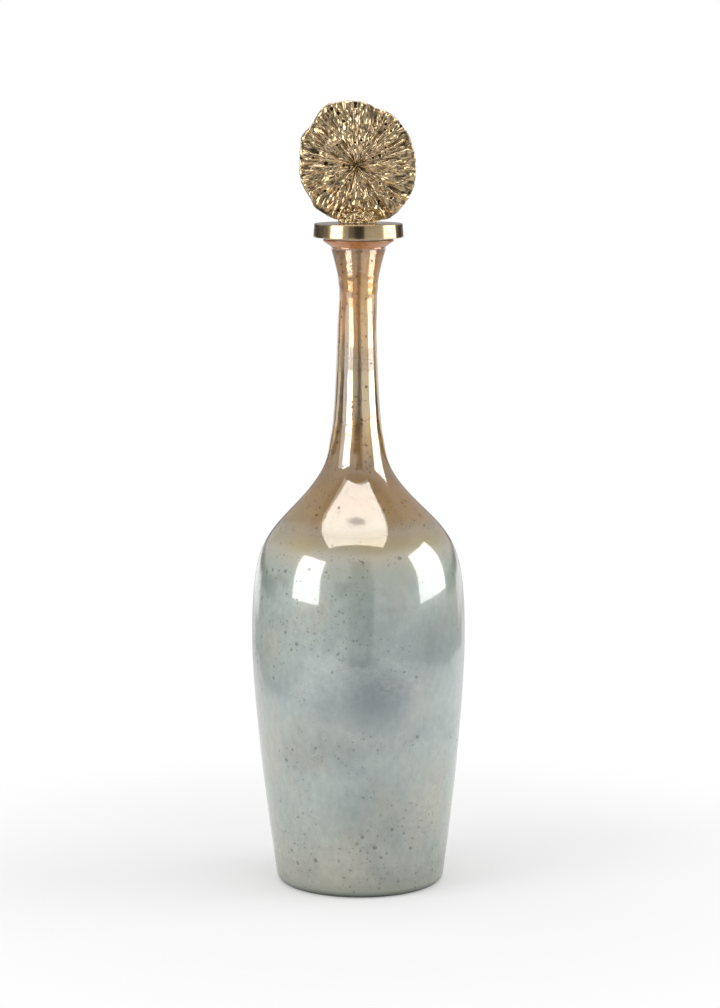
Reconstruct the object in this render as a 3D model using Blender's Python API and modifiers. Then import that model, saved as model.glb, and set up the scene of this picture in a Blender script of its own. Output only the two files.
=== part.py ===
"""A tall display bottle: blown glass with a long neck, closed by a corked stopper under a cast coral medallion.

Metres, +Z up, with the origin at the middle of the ring that the bottle stands on. The glass is turned about Z,
and the medallion faces -Y.
"""

import math

import bmesh
import bpy
from mathutils import Vector, noise
from mathutils.geometry import interpolate_bezier

# Blown glass, outside: each rise is measured from the station below it
FOOT_RADIUS = 0.0547
HEEL_ROUND = 0.0055
BELLY_RADIUS = 0.06945
BELLY_HEIGHT = 0.161
SHOULDER_RADIUS = 0.0416
SHOULDER_RISE = 0.0867
ROOT_RADIUS = 0.0169
ROOT_RISE = 0.0453
WAIST_RADIUS = 0.0122
NECK_RISE = 0.089
MOUTH_RADIUS = 0.0175
MOUTH_RISE = 0.0335
LIP_RADIUS = 0.0228
LIP_RISE = 0.0047
LIP_ROUND = 0.0004

# How far the outline leans in from straight up at each station
WALL_LEAN = math.radians(-8.3)
SHOULDER_LEAN = math.radians(44.8)
ROOT_LEAN = math.radians(12)
MOUTH_LEAN = math.radians(5.7)

# Blown glass, inside and underneath
GLASS_WALL = 0.003
GLASS_FLOOR = 0.008
FLOOR_ROUND = 0.012
RING_WIDTH = 0.009
PUNT_DEPTH = 0.004
BORE_FLARE = 0.0008

# Stopper
SEAT_GAP = 0.0003
GASKET_THICKNESS = 0.0007
GASKET_PLAY = 0.0004
COLLAR_RADIUS = 0.02895
COLLAR_DRAFT = 0.00065
COLLAR_HEIGHT = 0.0088
COLLAR_BEVEL = 0.0004
CORK_LENGTH = 0.033
CORK_TAPER = math.radians(4.5)
CORK_BEVEL = 0.0008
WASHER_RADIUS = 0.006
WASHER_THICKNESS = 0.001
SCREW_RADIUS = 0.002
SCREW_PLAY = 0.0003
SCREW_GRIP = 0.0063
SCREW_END_PLAY = 0.001
SCREW_POINT = 0.0005
HEAD_RADIUS = 0.004
HEAD_HEIGHT = 0.0028
HEAD_ROUND = 0.0012
SOCKET_RADIUS = 0.0015
SOCKET_DEPTH = 0.0014

# Coral medallion
CORAL_RADIUS = 0.0373
CORAL_THICKNESS = 0.0066
CORAL_LIFT = 0.0004
RIDGE_HEIGHT = 0.0008
CORAL_FOOT_WIDTH = 0.025
CORAL_FOOT_DEPTH = 0.0125
CORAL_FOOT_HEIGHT = 0.0085
NUGGET_HEIGHT = 0.0032

# Shares of the sizes above
WALL_REACH_SHARES = (0.43, 0.18)
SHOULDER_REACH_SHARES = (0.68, 0.34)
ROOT_REACH_SHARES = (0.76, 0.29)
NECK_REACH_SHARES = (0.18, 0.10)
MOUTH_REACH_SHARES = (0.58, 0.11)
CORAL_OUTLINE_SHARES = (
    0.983, 0.975, 0.966, 0.968, 0.972, 0.971, 0.983, 0.984, 0.986, 0.974, 0.976, 1.010,
    1.029, 1.050, 1.065, 1.094, 1.114, 1.085, 1.045, 1.018, 1.046, 1.062, 1.032, 1.013,
    1.005, 1.020, 1.036, 1.035, 1.037, 1.035, 1.076, 1.072, 1.063, 1.058, 1.045, 1.033,
    1.030, 1.036, 1.048, 1.075, 1.097, 1.089, 1.073, 1.060, 1.052, 1.034, 1.010, 0.996,
)  # fmt: skip
CORAL_EYE_SHARES = (-0.037, -0.053)
CORAL_SECTION_SHARES = (
    (0.0, 1.0), (0.08, 1.0), (0.18, 0.99), (0.29, 0.97), (0.41, 0.95), (0.53, 0.92),
    (0.65, 0.87), (0.77, 0.8), (0.88, 0.7), (0.96, 0.54), (1.0, 0.3), (1.0, 0.0),
)  # fmt: skip
RIDGE_FORK_SHARES = (0.36, 0.52)
RIDGE_FADE_SHARE = 0.12
BEAD_SHARE = 0.7
SWAY_SHARE = 1.6
FOOT_TOP_SHARES = (0.88, 0.62)

# Counts
GLASS_FACETS = 60
CORK_FACETS = 40
SCREW_FACETS = 24
SOCKET_SIDES = 6
WALL_STEPS, SHOULDER_STEPS, ROOT_STEPS, NECK_STEPS, MOUTH_STEPS = 5, 7, 6, 4, 5
ROUND_STEPS = 4
CORAL_SPOKES = 112
SPOKES_PER_RIDGE = 2
SPOKES_PER_INNER_RIDGE = 4
BEADS_ALONG = 7
SWAYS_ACROSS = 3
FOOT_CUTS = 6
NUGGETS_ACROSS = 5

OVERRUN = 0.002
MERGE = 0.00001

SHOULDER_HEIGHT = BELLY_HEIGHT + SHOULDER_RISE
ROOT_HEIGHT = SHOULDER_HEIGHT + ROOT_RISE
WAIST_HEIGHT = ROOT_HEIGHT + NECK_RISE
MOUTH_HEIGHT = WAIST_HEIGHT + MOUTH_RISE
LIP_HEIGHT = MOUTH_HEIGHT + LIP_RISE
GASKET_BASE = LIP_HEIGHT + SEAT_GAP
COLLAR_BASE = GASKET_BASE + GASKET_THICKNESS + SEAT_GAP
CORAL_BASE = COLLAR_BASE + COLLAR_HEIGHT + SEAT_GAP
CORK_TOP = COLLAR_BASE - SEAT_GAP
CORK_TIP = CORK_TOP - CORK_LENGTH
WASHER_BASE = CORK_TIP - SEAT_GAP - WASHER_THICKNESS
HEAD_TOP = WASHER_BASE - SEAT_GAP
SCREW_TIP = CORAL_BASE + SCREW_GRIP
SCREW_HOLE = SCREW_RADIUS + SCREW_PLAY

# Colour, roughness, metallic
FINISHES = {
    "luster_glass": ((0.47, 0.56, 0.54, 1.0), 0.18, 0.3),
    "clear_seal": ((0.82, 0.78, 0.70, 1.0), 0.45, 0.0),
    "brushed_brass": ((0.63, 0.54, 0.40, 1.0), 0.28, 1.0),
    "cast_brass": ((0.55, 0.45, 0.31, 1.0), 0.35, 1.0),
    "cork": ((0.58, 0.40, 0.24, 1.0), 0.9, 0.0),
    "screw_steel": ((0.62, 0.62, 0.60, 1.0), 0.3, 1.0),
}


def clear_scene():
    """Removes whatever the scene holds."""
    for obj in list(bpy.data.objects):
        bpy.data.objects.remove(obj, do_unlink=True)


def new_collection(name, shown):
    """A collection of the scene, drawn or not."""
    collection = bpy.data.collections.new(name)
    collection.hide_render = not shown
    bpy.context.scene.collection.children.link(collection)
    return collection


def finish_of(name):
    """The material with this finish, made once."""
    if name in bpy.data.materials:
        return bpy.data.materials[name]
    colour, roughness, metallic = FINISHES[name]
    material = bpy.data.materials.new(name)
    material.use_nodes = True
    shader = material.node_tree.nodes["Principled BSDF"]
    shader.inputs["Base Color"].default_value = colour
    shader.inputs["Roughness"].default_value = roughness
    shader.inputs["Metallic"].default_value = metallic
    material.diffuse_color = colour
    return material


def object_from(bm, name, collection, finish=None):
    """An object that holds this bmesh."""
    mesh = bpy.data.meshes.new(name)
    bm.to_mesh(mesh)
    bm.free()
    obj = bpy.data.objects.new(name, mesh)
    collection.objects.link(obj)
    if finish:
        mesh.materials.append(finish_of(finish))
    return obj


def joint_axis(name, height, parent, collection):
    """An empty on the bottle's axis, which carries what moves there."""
    empty = bpy.data.objects.new(name, None)
    collection.objects.link(empty)
    put(empty, height, parent)
    return empty


def put(obj, height, parent=None):
    """Stands an object on the bottle's axis at this height, carried by its parent, which stands there too."""
    obj.parent = parent
    carried = 0.0
    while parent:
        carried += parent.location.z
        parent = parent.parent
    obj.location.z = height - carried


def turned(name, profile, facets, collection, finish):
    """A solid of revolution about Z. The profile is (radius, height), up the inside and down the outside."""
    bm = bmesh.new()
    points = [bm.verts.new((radius, 0.0, height)) for radius, height in profile]
    for low, high in zip(points, points[1:]):
        bm.edges.new((low, high))
    if profile[0][0] > 0.0:
        bm.edges.new((points[-1], points[0]))
    obj = object_from(bm, name, collection, finish)
    screw = obj.modifiers.new("turn", "SCREW")
    screw.axis = "Z"
    screw.angle = math.tau
    screw.steps = screw.render_steps = facets
    screw.use_merge_vertices = True
    screw.merge_threshold = MERGE
    screw.use_smooth_shade = True
    return obj


def boolean(obj, other, operation):
    """Adds or cuts the other object, by the exact solver."""
    modifier = obj.modifiers.new(other.name, "BOOLEAN")
    modifier.object = other
    modifier.operation = operation
    modifier.solver = "EXACT"


def as_cutter(obj):
    """Keeps a helper out of the model."""
    obj.hide_render = True
    obj.display_type = "WIRE"
    return obj


def along(lean):
    """The direction of an outline that leans in from straight up."""
    return Vector((-math.sin(lean), 0.0, math.cos(lean)))


def stretch(start, start_lean, end, end_lean, reach_shares, steps):
    """One smooth stretch of the glass outline, from its lower end to its upper one, without the last point."""
    rise = end[1] - start[1]
    low, high = Vector((start[0], 0.0, start[1])), Vector((end[0], 0.0, end[1]))
    low_handle = low + along(start_lean) * rise * reach_shares[0]
    high_handle = high - along(end_lean) * rise * reach_shares[1]
    points = interpolate_bezier(low, low_handle, high_handle, high, steps + 1)
    return [(point.x, point.z) for point in points[:-1]]


def arc(centre, radius, start, end, steps):
    """Points of a round from one angle to another, both ends included."""
    angles = [start + (end - start) * step / steps for step in range(steps + 1)]
    return [(centre[0] + radius * math.cos(angle), centre[1] + radius * math.sin(angle)) for angle in angles]


def heel_top():
    """Where the round of the heel runs into the wall."""
    return FOOT_RADIUS, HEEL_ROUND + HEEL_ROUND * math.sin(WALL_LEAN)


def outer_outline():
    """The glass from the top of the heel to the mouth, upwards."""
    stations = (
        (heel_top(), WALL_LEAN),
        ((BELLY_RADIUS, BELLY_HEIGHT), 0.0),
        ((SHOULDER_RADIUS, SHOULDER_HEIGHT), SHOULDER_LEAN),
        ((ROOT_RADIUS, ROOT_HEIGHT), ROOT_LEAN),
        ((WAIST_RADIUS, WAIST_HEIGHT), 0.0),
        ((MOUTH_RADIUS, MOUTH_HEIGHT), MOUTH_LEAN),
    )
    reaches = (
        WALL_REACH_SHARES,
        SHOULDER_REACH_SHARES,
        ROOT_REACH_SHARES,
        NECK_REACH_SHARES,
        MOUTH_REACH_SHARES,
    )
    counts = (WALL_STEPS, SHOULDER_STEPS, ROOT_STEPS, NECK_STEPS, MOUTH_STEPS)
    outline = []
    for (low, low_lean), (high, high_lean), reach, steps in zip(stations, stations[1:], reaches, counts):
        outline += stretch(low, low_lean, high, high_lean, reach, steps)
    return outline + [stations[-1][0]]


def inner_outline(outline):
    """The wall's inside, upwards: the outline set in by the wall, square to the glass."""
    inside = []
    for below, here, above in zip(outline, outline[1:], outline[2:]):
        run = Vector((above[0] - below[0], above[1] - below[1])).normalized()
        inside.append((here[0] - run.y * GLASS_WALL, here[1] + run.x * GLASS_WALL))
    return inside


def radius_at(outline, height):
    """The radius of an outline at this height."""
    for (low_radius, low), (high_radius, high) in zip(outline, outline[1:]):
        if low <= height <= high:
            return low_radius + (high_radius - low_radius) * (height - low) / (high - low)
    return outline[0][0] if height < outline[0][1] else outline[-1][0]


def bore_radius(height):
    """The radius of the bore above the waist, where it opens at the cork's taper."""
    return WAIST_RADIUS - GLASS_WALL + math.tan(CORK_TAPER) * (height - WAIST_HEIGHT)


def glass_profile():
    """The whole section of the glass, from the floor inside, over the lip and down to the punt."""
    outside = outer_outline()
    inside = inner_outline(outside)
    corner_height = GLASS_FLOOR + FLOOR_ROUND
    corner_radius = radius_at(outside, corner_height) - GLASS_WALL - FLOOR_ROUND
    floor = arc((corner_radius, corner_height), FLOOR_ROUND, -math.pi / 2, 0.0, ROUND_STEPS)
    bore = [point for point in inside if corner_height + FLOOR_ROUND < point[1] < WAIST_HEIGHT][::2]
    mouth = [(bore_radius(height), height) for height in (WAIST_HEIGHT, MOUTH_HEIGHT)]
    lip = [
        (bore_radius(LIP_HEIGHT) + BORE_FLARE, LIP_HEIGHT),
        (LIP_RADIUS - LIP_ROUND, LIP_HEIGHT),
        (LIP_RADIUS, LIP_HEIGHT - LIP_ROUND),
    ]
    heel_centre = (FOOT_RADIUS - HEEL_ROUND * math.cos(WALL_LEAN), HEEL_ROUND)
    heel = arc(heel_centre, HEEL_ROUND, WALL_LEAN, -math.pi / 2, ROUND_STEPS)
    ring_inner = heel_centre[0] - RING_WIDTH
    punt_radius = (ring_inner**2 + PUNT_DEPTH**2) / (2 * PUNT_DEPTH)
    punt_angle = math.asin(ring_inner / punt_radius)
    punt_centre = (0.0, PUNT_DEPTH - punt_radius)
    punt = arc(punt_centre, punt_radius, math.pi / 2 - punt_angle, math.pi / 2, ROUND_STEPS)
    punt[-1] = (0.0, PUNT_DEPTH)
    return [(0.0, GLASS_FLOOR)] + floor + bore + mouth + lip + outside[::-1][:-1] + heel + punt


def cork_radii():
    """The radii of the cork's tip and top, which just clear the bore."""
    return bore_radius(CORK_TIP) - SEAT_GAP, bore_radius(CORK_TOP) - SEAT_GAP


def make_bottle(collection):
    """The blown glass in one piece: body, neck, flared lip and punted base."""
    return turned("glass_bottle", glass_profile(), GLASS_FACETS, collection, "luster_glass")


def make_gasket(collection):
    """The thin ring that cushions the collar on the lip, loose round the cork."""
    inner = cork_radii()[1] + GASKET_PLAY
    profile = (
        (inner, 0.0),
        (inner, GASKET_THICKNESS),
        (LIP_RADIUS, GASKET_THICKNESS),
        (LIP_RADIUS, 0.0),
    )
    return turned("lip_gasket", profile, GLASS_FACETS, collection, "clear_seal")


def make_collar(collection):
    """The turned brass cap of the stopper, drawn in a little towards its top."""
    top = COLLAR_RADIUS - COLLAR_DRAFT
    profile = (
        (SCREW_HOLE, 0.0),
        (SCREW_HOLE, COLLAR_HEIGHT),
        (top - COLLAR_BEVEL, COLLAR_HEIGHT),
        (top, COLLAR_HEIGHT - COLLAR_BEVEL),
        (COLLAR_RADIUS, COLLAR_BEVEL),
        (COLLAR_RADIUS - COLLAR_BEVEL, 0.0),
    )
    return turned("stopper_collar", profile, GLASS_FACETS, collection, "brushed_brass")


def make_cork(collection):
    """The tapered cork that plugs the neck, bored for the screw."""
    tip, top = cork_radii()
    profile = (
        (SCREW_HOLE, 0.0),
        (SCREW_HOLE, CORK_LENGTH),
        (top - CORK_BEVEL, CORK_LENGTH),
        (top - CORK_BEVEL * math.tan(CORK_TAPER), CORK_LENGTH - CORK_BEVEL),
        (tip + CORK_BEVEL * math.tan(CORK_TAPER), CORK_BEVEL),
        (tip - CORK_BEVEL, 0.0),
    )
    return turned("stopper_cork", profile, CORK_FACETS, collection, "cork")


def make_washer(collection):
    """The washer that spreads the screw head over the cork's tip."""
    profile = (
        (SCREW_HOLE, 0.0),
        (SCREW_HOLE, WASHER_THICKNESS),
        (WASHER_RADIUS, WASHER_THICKNESS),
        (WASHER_RADIUS, 0.0),
    )
    return turned("screw_washer", profile, SCREW_FACETS, collection, "screw_steel")


def make_screw(collection, cutters):
    """The screw that draws cork, collar and medallion together, head down. It stands on its head's upper face."""
    length = SCREW_TIP - HEAD_TOP
    crown = arc((HEAD_RADIUS - HEAD_ROUND, HEAD_ROUND - HEAD_HEIGHT), HEAD_ROUND, 0.0, -math.pi / 2, ROUND_STEPS)
    profile = [
        (0.0, length),
        (SCREW_RADIUS - SCREW_POINT, length),
        (SCREW_RADIUS, length - SCREW_POINT),
        (SCREW_RADIUS, 0.0),
        (HEAD_RADIUS, 0.0),
        *crown,
        (0.0, -HEAD_HEIGHT),
    ]
    screw = turned("stopper_screw", profile, SCREW_FACETS, collection, "screw_steel")
    socket = peg("screw_socket", SOCKET_RADIUS, -HEAD_HEIGHT - OVERRUN, SOCKET_DEPTH - HEAD_HEIGHT, SOCKET_SIDES, cutters)
    boolean(screw, socket, "DIFFERENCE")
    return screw, socket


def peg(name, radius, low, high, sides, collection):
    """A round or many-sided cutter about Z, between two heights."""
    bm = bmesh.new()
    bmesh.ops.create_cone(bm, cap_ends=True, segments=sides, radius1=radius, radius2=radius, depth=high - low)
    bmesh.ops.translate(bm, verts=bm.verts, vec=(0.0, 0.0, (low + high) / 2))
    return as_cutter(object_from(bm, name, collection))


def outline_share(turn):
    """The medallion's reach at a turn, 0 to 1, as a smooth curve through its outline's shares."""
    count = len(CORAL_OUTLINE_SHARES)
    place = (turn % 1.0) * count
    index = int(place)
    along_share = place - index
    before, start, end, after = (CORAL_OUTLINE_SHARES[(index + step) % count] for step in (-1, 0, 1, 2))
    bend = (end - before) / 2, (after - start) / 2
    square, cube = along_share**2, along_share**3
    return (
        (2 * cube - 3 * square + 1) * start
        + (cube - 2 * square + along_share) * bend[0]
        + (3 * square - 2 * cube) * end
        + (cube - square) * bend[1]
    )


def rim_point(turn):
    """A point of the medallion's rim, measured from its middle."""
    reach = CORAL_RADIUS * outline_share(turn)
    return Vector((reach * math.cos(math.tau * turn), reach * math.sin(math.tau * turn)))


def coral_centre_height():
    """The medallion's middle above the sole of its foot, so that its rim just clears the collar."""
    drops = [-rim_point(spoke / CORAL_SPOKES).y for spoke in range(CORAL_SPOKES)]
    return max(drops) + CORAL_LIFT


def ridge_share(turn, reach):
    """The coral's relief, from -1 in a groove to 1 on a crest. Each inner ridge forks into two on its way out."""
    fork_start, fork_end = RIDGE_FORK_SHARES
    forked = min(max((reach - fork_start) / (fork_end - fork_start), 0.0), 1.0)
    spoke = turn * CORAL_SPOKES
    inner = math.cos(math.tau * spoke / SPOKES_PER_INNER_RIDGE)
    outer = math.cos(math.tau * spoke / SPOKES_PER_RIDGE)
    bead = noise.noise(Vector((spoke, reach * BEADS_ALONG, 0.0)))
    fade = min((1.0 - reach) / RIDGE_FADE_SHARE, reach / RIDGE_FADE_SHARE, 1.0)
    return fade * ((1.0 - forked) * inner + forked * outer) * (1.0 + BEAD_SHARE * bead)


def ridge_sway(turn, reach):
    """How far round a ridge wanders from its straight spoke, in turns."""
    place = Vector((reach * math.cos(math.tau * turn), reach * math.sin(math.tau * turn), 0.0))
    return noise.noise(place * SWAYS_ACROSS) * SWAY_SHARE / CORAL_SPOKES


def make_coral_half(collection):
    """The medallion's front half, open at its middle plane: a turned section drawn out to the rim, then ridged."""
    bm = bmesh.new()
    section = [bm.verts.new((reach, -thick, 0.0)) for reach, thick in CORAL_SECTION_SHARES]
    edges = [bm.edges.new(pair) for pair in zip(section, section[1:])]
    bmesh.ops.spin(
        bm,
        geom=section + edges,
        cent=(0.0, 0.0, 0.0),
        axis=(0.0, -1.0, 0.0),
        angle=math.tau,
        steps=CORAL_SPOKES,
        use_merge=True,
    )
    bmesh.ops.remove_doubles(bm, verts=bm.verts, dist=MERGE)
    eye = Vector(CORAL_EYE_SHARES) * CORAL_RADIUS
    for vert in bm.verts:
        reach, thick = min(math.hypot(vert.co.x, vert.co.z), 1.0), -vert.co.y
        turn = math.atan2(vert.co.z, vert.co.x) / math.tau % 1.0
        place = eye.lerp(rim_point(turn + ridge_sway(turn, reach)), reach)
        relief = RIDGE_HEIGHT * ridge_share(turn, reach) if thick > 0.0 else 0.0
        vert.co = (place.x, -thick * CORAL_THICKNESS / 2 - relief, place.y)
    return object_from(bm, "coral_medallion", collection, "cast_brass")


def make_coral_foot(collection):
    """The lumpy block at the medallion's bottom, flat where it stands on the collar."""
    bm = bmesh.new()
    bmesh.ops.create_cube(bm, size=1.0)
    bmesh.ops.subdivide_edges(bm, edges=bm.edges, cuts=FOOT_CUTS, use_grid_fill=True)
    bm.normal_update()
    width_share, depth_share = FOOT_TOP_SHARES
    sole = min(vert.co.z for vert in bm.verts)
    for vert in bm.verts:
        up = vert.co.z - sole
        lump = NUGGET_HEIGHT * up * noise.noise(vert.co * NUGGETS_ACROSS)
        width = CORAL_FOOT_WIDTH * (1.0 - up * (1.0 - width_share))
        depth = CORAL_FOOT_DEPTH * (1.0 - up * (1.0 - depth_share))
        vert.co = Vector((vert.co.x * width, vert.co.y * depth, up * CORAL_FOOT_HEIGHT)) + vert.normal * lump
    foot = object_from(bm, "coral_foot", collection)
    return as_cutter(foot)


def make_medallion(collection, cutters):
    """The coral casting with its foot and the blind hole for the screw. It stands on its foot's sole."""
    coral = make_coral_half(collection)
    rise = coral_centre_height()
    for vert in coral.data.vertices:
        vert.co.z += rise
    mirror = coral.modifiers.new("back", "MIRROR")
    mirror.use_axis = (False, True, False)
    mirror.merge_threshold = MERGE
    foot = make_coral_foot(cutters)
    boolean(coral, foot, "UNION")
    hole = peg("coral_hole", SCREW_HOLE, -OVERRUN, SCREW_GRIP + SCREW_END_PLAY, SCREW_FACETS, cutters)
    boolean(coral, hole, "DIFFERENCE")
    return coral, (foot, hole)


def build():
    """Makes every piece and stands it in its place."""
    clear_scene()
    parts = new_collection("display_bottle", shown=True)
    cutters = new_collection("cutters", shown=False)
    make_bottle(parts)
    lift_axis = joint_axis("stopper_lift_axis", LIP_HEIGHT, None, parts)
    turn_axis = joint_axis("stopper_turn_axis", LIP_HEIGHT, lift_axis, parts)
    put(make_gasket(parts), GASKET_BASE, lift_axis)
    put(make_collar(parts), COLLAR_BASE, turn_axis)
    put(make_cork(parts), CORK_TIP, turn_axis)
    put(make_washer(parts), WASHER_BASE, turn_axis)
    screw, socket = make_screw(parts, cutters)
    put(screw, HEAD_TOP, turn_axis)
    put(socket, HEAD_TOP, turn_axis)
    coral, helpers = make_medallion(parts, cutters)
    put(coral, CORAL_BASE, turn_axis)
    for helper in helpers:
        put(helper, CORAL_BASE, turn_axis)


build()
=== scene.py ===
"""The looks of the stoppered display bottle: luster glass, brushed and cast brass, cork, and a studio."""

import enum
import logging
import math
from dataclasses import dataclass, field
from typing import Callable, Sequence

import bmesh
import bpy
import numpy as np
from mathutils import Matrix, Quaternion, Vector, noise
from mathutils.geometry import interpolate_bezier


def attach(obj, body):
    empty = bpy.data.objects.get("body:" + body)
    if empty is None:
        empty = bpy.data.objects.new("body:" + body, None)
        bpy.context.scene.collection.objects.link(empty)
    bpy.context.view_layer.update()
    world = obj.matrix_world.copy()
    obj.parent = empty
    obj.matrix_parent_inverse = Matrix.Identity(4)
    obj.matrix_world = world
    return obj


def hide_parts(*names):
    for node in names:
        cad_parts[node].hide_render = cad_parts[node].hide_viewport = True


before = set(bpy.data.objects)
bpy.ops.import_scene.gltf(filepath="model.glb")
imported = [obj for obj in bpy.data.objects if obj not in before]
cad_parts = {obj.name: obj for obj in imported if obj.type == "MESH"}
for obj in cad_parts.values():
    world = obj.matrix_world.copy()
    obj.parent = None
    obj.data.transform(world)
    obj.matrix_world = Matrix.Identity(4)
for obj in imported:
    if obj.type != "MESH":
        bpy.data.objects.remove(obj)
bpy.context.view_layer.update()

LOG = logging.getLogger("display_bottle")

Socket = bpy.types.NodeSocket
Colour = tuple[float, float, float]
Triple = tuple[float, float, float]
Point2 = tuple[float, float]
Given = float | Sequence[float] | Socket
Inputs = dict[str | int, Given]


def tone(red: int, green: int, blue: int) -> Colour:
    """A colour written as it looks on a screen, 0 to 255, as the linear numbers that a shader takes.

    Args:
        red: Share of red, 0 to 255.
        green: Share of green, 0 to 255.
        blue: Share of blue, 0 to 255.

    Returns:
        The linear colour.
    """
    shares = (red / 255, green / 255, blue / 255)
    return tuple(s / 12.92 if s <= 0.04045 else ((s + 0.055) / 1.055) ** 2.4 for s in shares)


# Node trees


class Graph:
    """Adds nodes to a tree and feeds their sockets."""

    def __init__(self, tree: bpy.types.NodeTree) -> None:
        """Starts on a tree that may already hold nodes."""
        self.tree = tree

    def feed(self, socket: Socket, given: Given) -> None:
        """Links a socket or sets its number.

        Args:
            socket: The input to feed.
            given: Another node's output, or a plain value. A colour may come with three numbers.
        """
        if isinstance(given, Socket):
            self.tree.links.new(given, socket)
        elif socket.type == "RGBA" and len(given) == 3:
            socket.default_value = (*given, 1.0)
        else:
            socket.default_value = given

    def add(self, kind: str, inputs: Inputs | None = None, **settings: object) -> bpy.types.Node:
        """Adds one node.

        Args:
            kind: The node's type.
            inputs: What goes into its sockets, by name or index.
            **settings: The node's own options.

        Returns:
            The node.
        """
        node = self.tree.nodes.new(kind)
        for name, value in settings.items():
            setattr(node, name, value)
        for key, given in (inputs or {}).items():
            self.feed(node.inputs[key], given)
        return node

    def math(self, operation: str, first: Given, second: Given = 0.0, third: Given = 0.0) -> Socket:
        """The result of a Math node.

        Args:
            operation: Its operation.
            first: Its first value.
            second: Its second value.
            third: Its third value.

        Returns:
            The output socket.
        """
        return self.add("ShaderNodeMath", {0: first, 1: second, 2: third}, operation=operation).outputs[0]

    def times(self, first: Given, second: Given) -> Socket:
        """The product of two numbers."""
        return self.math("MULTIPLY", first, second)

    def plus(self, first: Given, second: Given) -> Socket:
        """The sum of two numbers."""
        return self.math("ADD", first, second)

    def minus(self, first: Given, second: Given) -> Socket:
        """The first number less the second."""
        return self.math("SUBTRACT", first, second)

    def vector(self, operation: str, first: Given, second: Given = (0.0, 0.0, 0.0)) -> Socket:
        """The vector result of a Vector Math node.

        Args:
            operation: Its operation.
            first: Its first vector.
            second: Its second vector.

        Returns:
            The output socket.
        """
        return self.add("ShaderNodeVectorMath", {0: first, 1: second}, operation=operation).outputs[0]

    def stretch(self, vector: Given, factors: Sequence[float]) -> Socket:
        """A vector with each axis multiplied by its factor."""
        return self.vector("MULTIPLY", vector, factors)

    def length(self, vector: Given) -> Socket:
        """How long a vector is."""
        return self.add("ShaderNodeVectorMath", {0: vector}, operation="LENGTH").outputs[1]

    def split(self, vector: Given) -> tuple[Socket, ...]:
        """The X, Y and Z outputs of a vector."""
        return tuple(self.add("ShaderNodeSeparateXYZ", {0: vector}).outputs)

    def join(self, x: Given, y: Given, z: Given) -> Socket:
        """A vector from its three numbers."""
        return self.add("ShaderNodeCombineXYZ", {0: x, 1: y, 2: z}).outputs[0]

    def noise(
        self, vector: Given, scale: Given, detail: float = 2.0, roughness: float = 0.5, distortion: float = 0.0
    ) -> Socket:
        """Soft noise, about 0.2 to 0.8.

        Args:
            vector: Where it is read.
            scale: Features a metre, or a unit of the vector.
            detail: Octaves.
            roughness: How much the finer octaves count.
            distortion: How far it is pulled about.

        Returns:
            The output socket.
        """
        inputs = {
            "Vector": vector,
            "Scale": scale,
            "Detail": detail,
            "Roughness": roughness,
            "Distortion": distortion,
        }
        return self.add("ShaderNodeTexNoise", inputs).outputs[0]

    def scatter(self, vector: Given, scale: float, detail: float = 2.0) -> Socket:
        """Soft noise as a vector, each axis about 0.2 to 0.8."""
        return self.add("ShaderNodeTexNoise", {"Vector": vector, "Scale": scale, "Detail": detail}).outputs[1]

    def cells(self, vector: Given, scale: Given, feature: str = "F1") -> bpy.types.Node:
        """A Voronoi node, whose first output is a distance.

        Args:
            vector: Where it is read.
            scale: Cells a metre, or a unit of the vector.
            feature: F1 or DISTANCE_TO_EDGE.

        Returns:
            The node.
        """
        return self.add("ShaderNodeTexVoronoi", {"Vector": vector, "Scale": scale}, feature=feature)

    def ease(
        self,
        value: Given,
        start: float,
        end: float,
        low: float = 0.0,
        high: float = 1.0,
        kind: str = "SMOOTHSTEP",
    ) -> Socket:
        """A step of a value.

        Args:
            value: What is read.
            start: Where the step starts.
            end: Where it ends.
            low: The result before it.
            high: The result after it.
            kind: The Map Range node's interpolation.

        Returns:
            The output socket.
        """
        inputs = {0: value, 1: start, 2: end, 3: low, 4: high}
        return self.add("ShaderNodeMapRange", inputs, interpolation_type=kind).outputs[0]

    def blend(self, share: Given, first: Given, second: Given) -> Socket:
        """A mix of two colours.

        Args:
            share: How much of the second.
            first: The first colour.
            second: The second colour.

        Returns:
            The output socket.
        """
        return self.add("ShaderNodeMix", {0: share, 6: first, 7: second}, data_type="RGBA").outputs[2]

    def ramp(self, value: Given, stops: Sequence[tuple[float, Colour]]) -> Socket:
        """A Color Ramp.

        Args:
            value: What is read, 0 to 1.
            stops: Places and colours, in order.

        Returns:
            The colour output.
        """
        node = self.add("ShaderNodeValToRGB", {0: value})
        marks = node.color_ramp.elements
        for place, _ in stops[2:]:
            marks.new(place)
        for mark, (place, colour) in zip(marks, stops):
            mark.position = place
            mark.color = (*colour, 1.0)
        return node.outputs[0]

    def bump(self, height: Given, distance: float, strength: float, normal: Given | None = None) -> Socket:
        """A Bump node's normal.

        Args:
            height: The relief, 0 to 1.
            distance: Its depth in metres.
            strength: How much of it shows.
            normal: The normal that it adds to.

        Returns:
            The normal output.
        """
        inputs = {"Height": height, "Distance": distance, "Strength": strength}
        if normal is not None:
            inputs["Normal"] = normal
        return self.add("ShaderNodeBump", inputs).outputs[0]


def shader_sheet(name: str) -> tuple[bpy.types.Material, Graph, bpy.types.Node, Socket]:
    """A new material with its Principled shader and its Object coordinates.

    Args:
        name: The material's name.

    Returns:
        The material, a Graph on its tree, the shader node and the coordinates.
    """
    material = bpy.data.materials.new(name)
    material.use_nodes = True
    graph = Graph(material.node_tree)
    shader = material.node_tree.nodes["Principled BSDF"]
    place = graph.add("ShaderNodeTexCoord").outputs["Object"]
    return material, graph, shader, place


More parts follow.
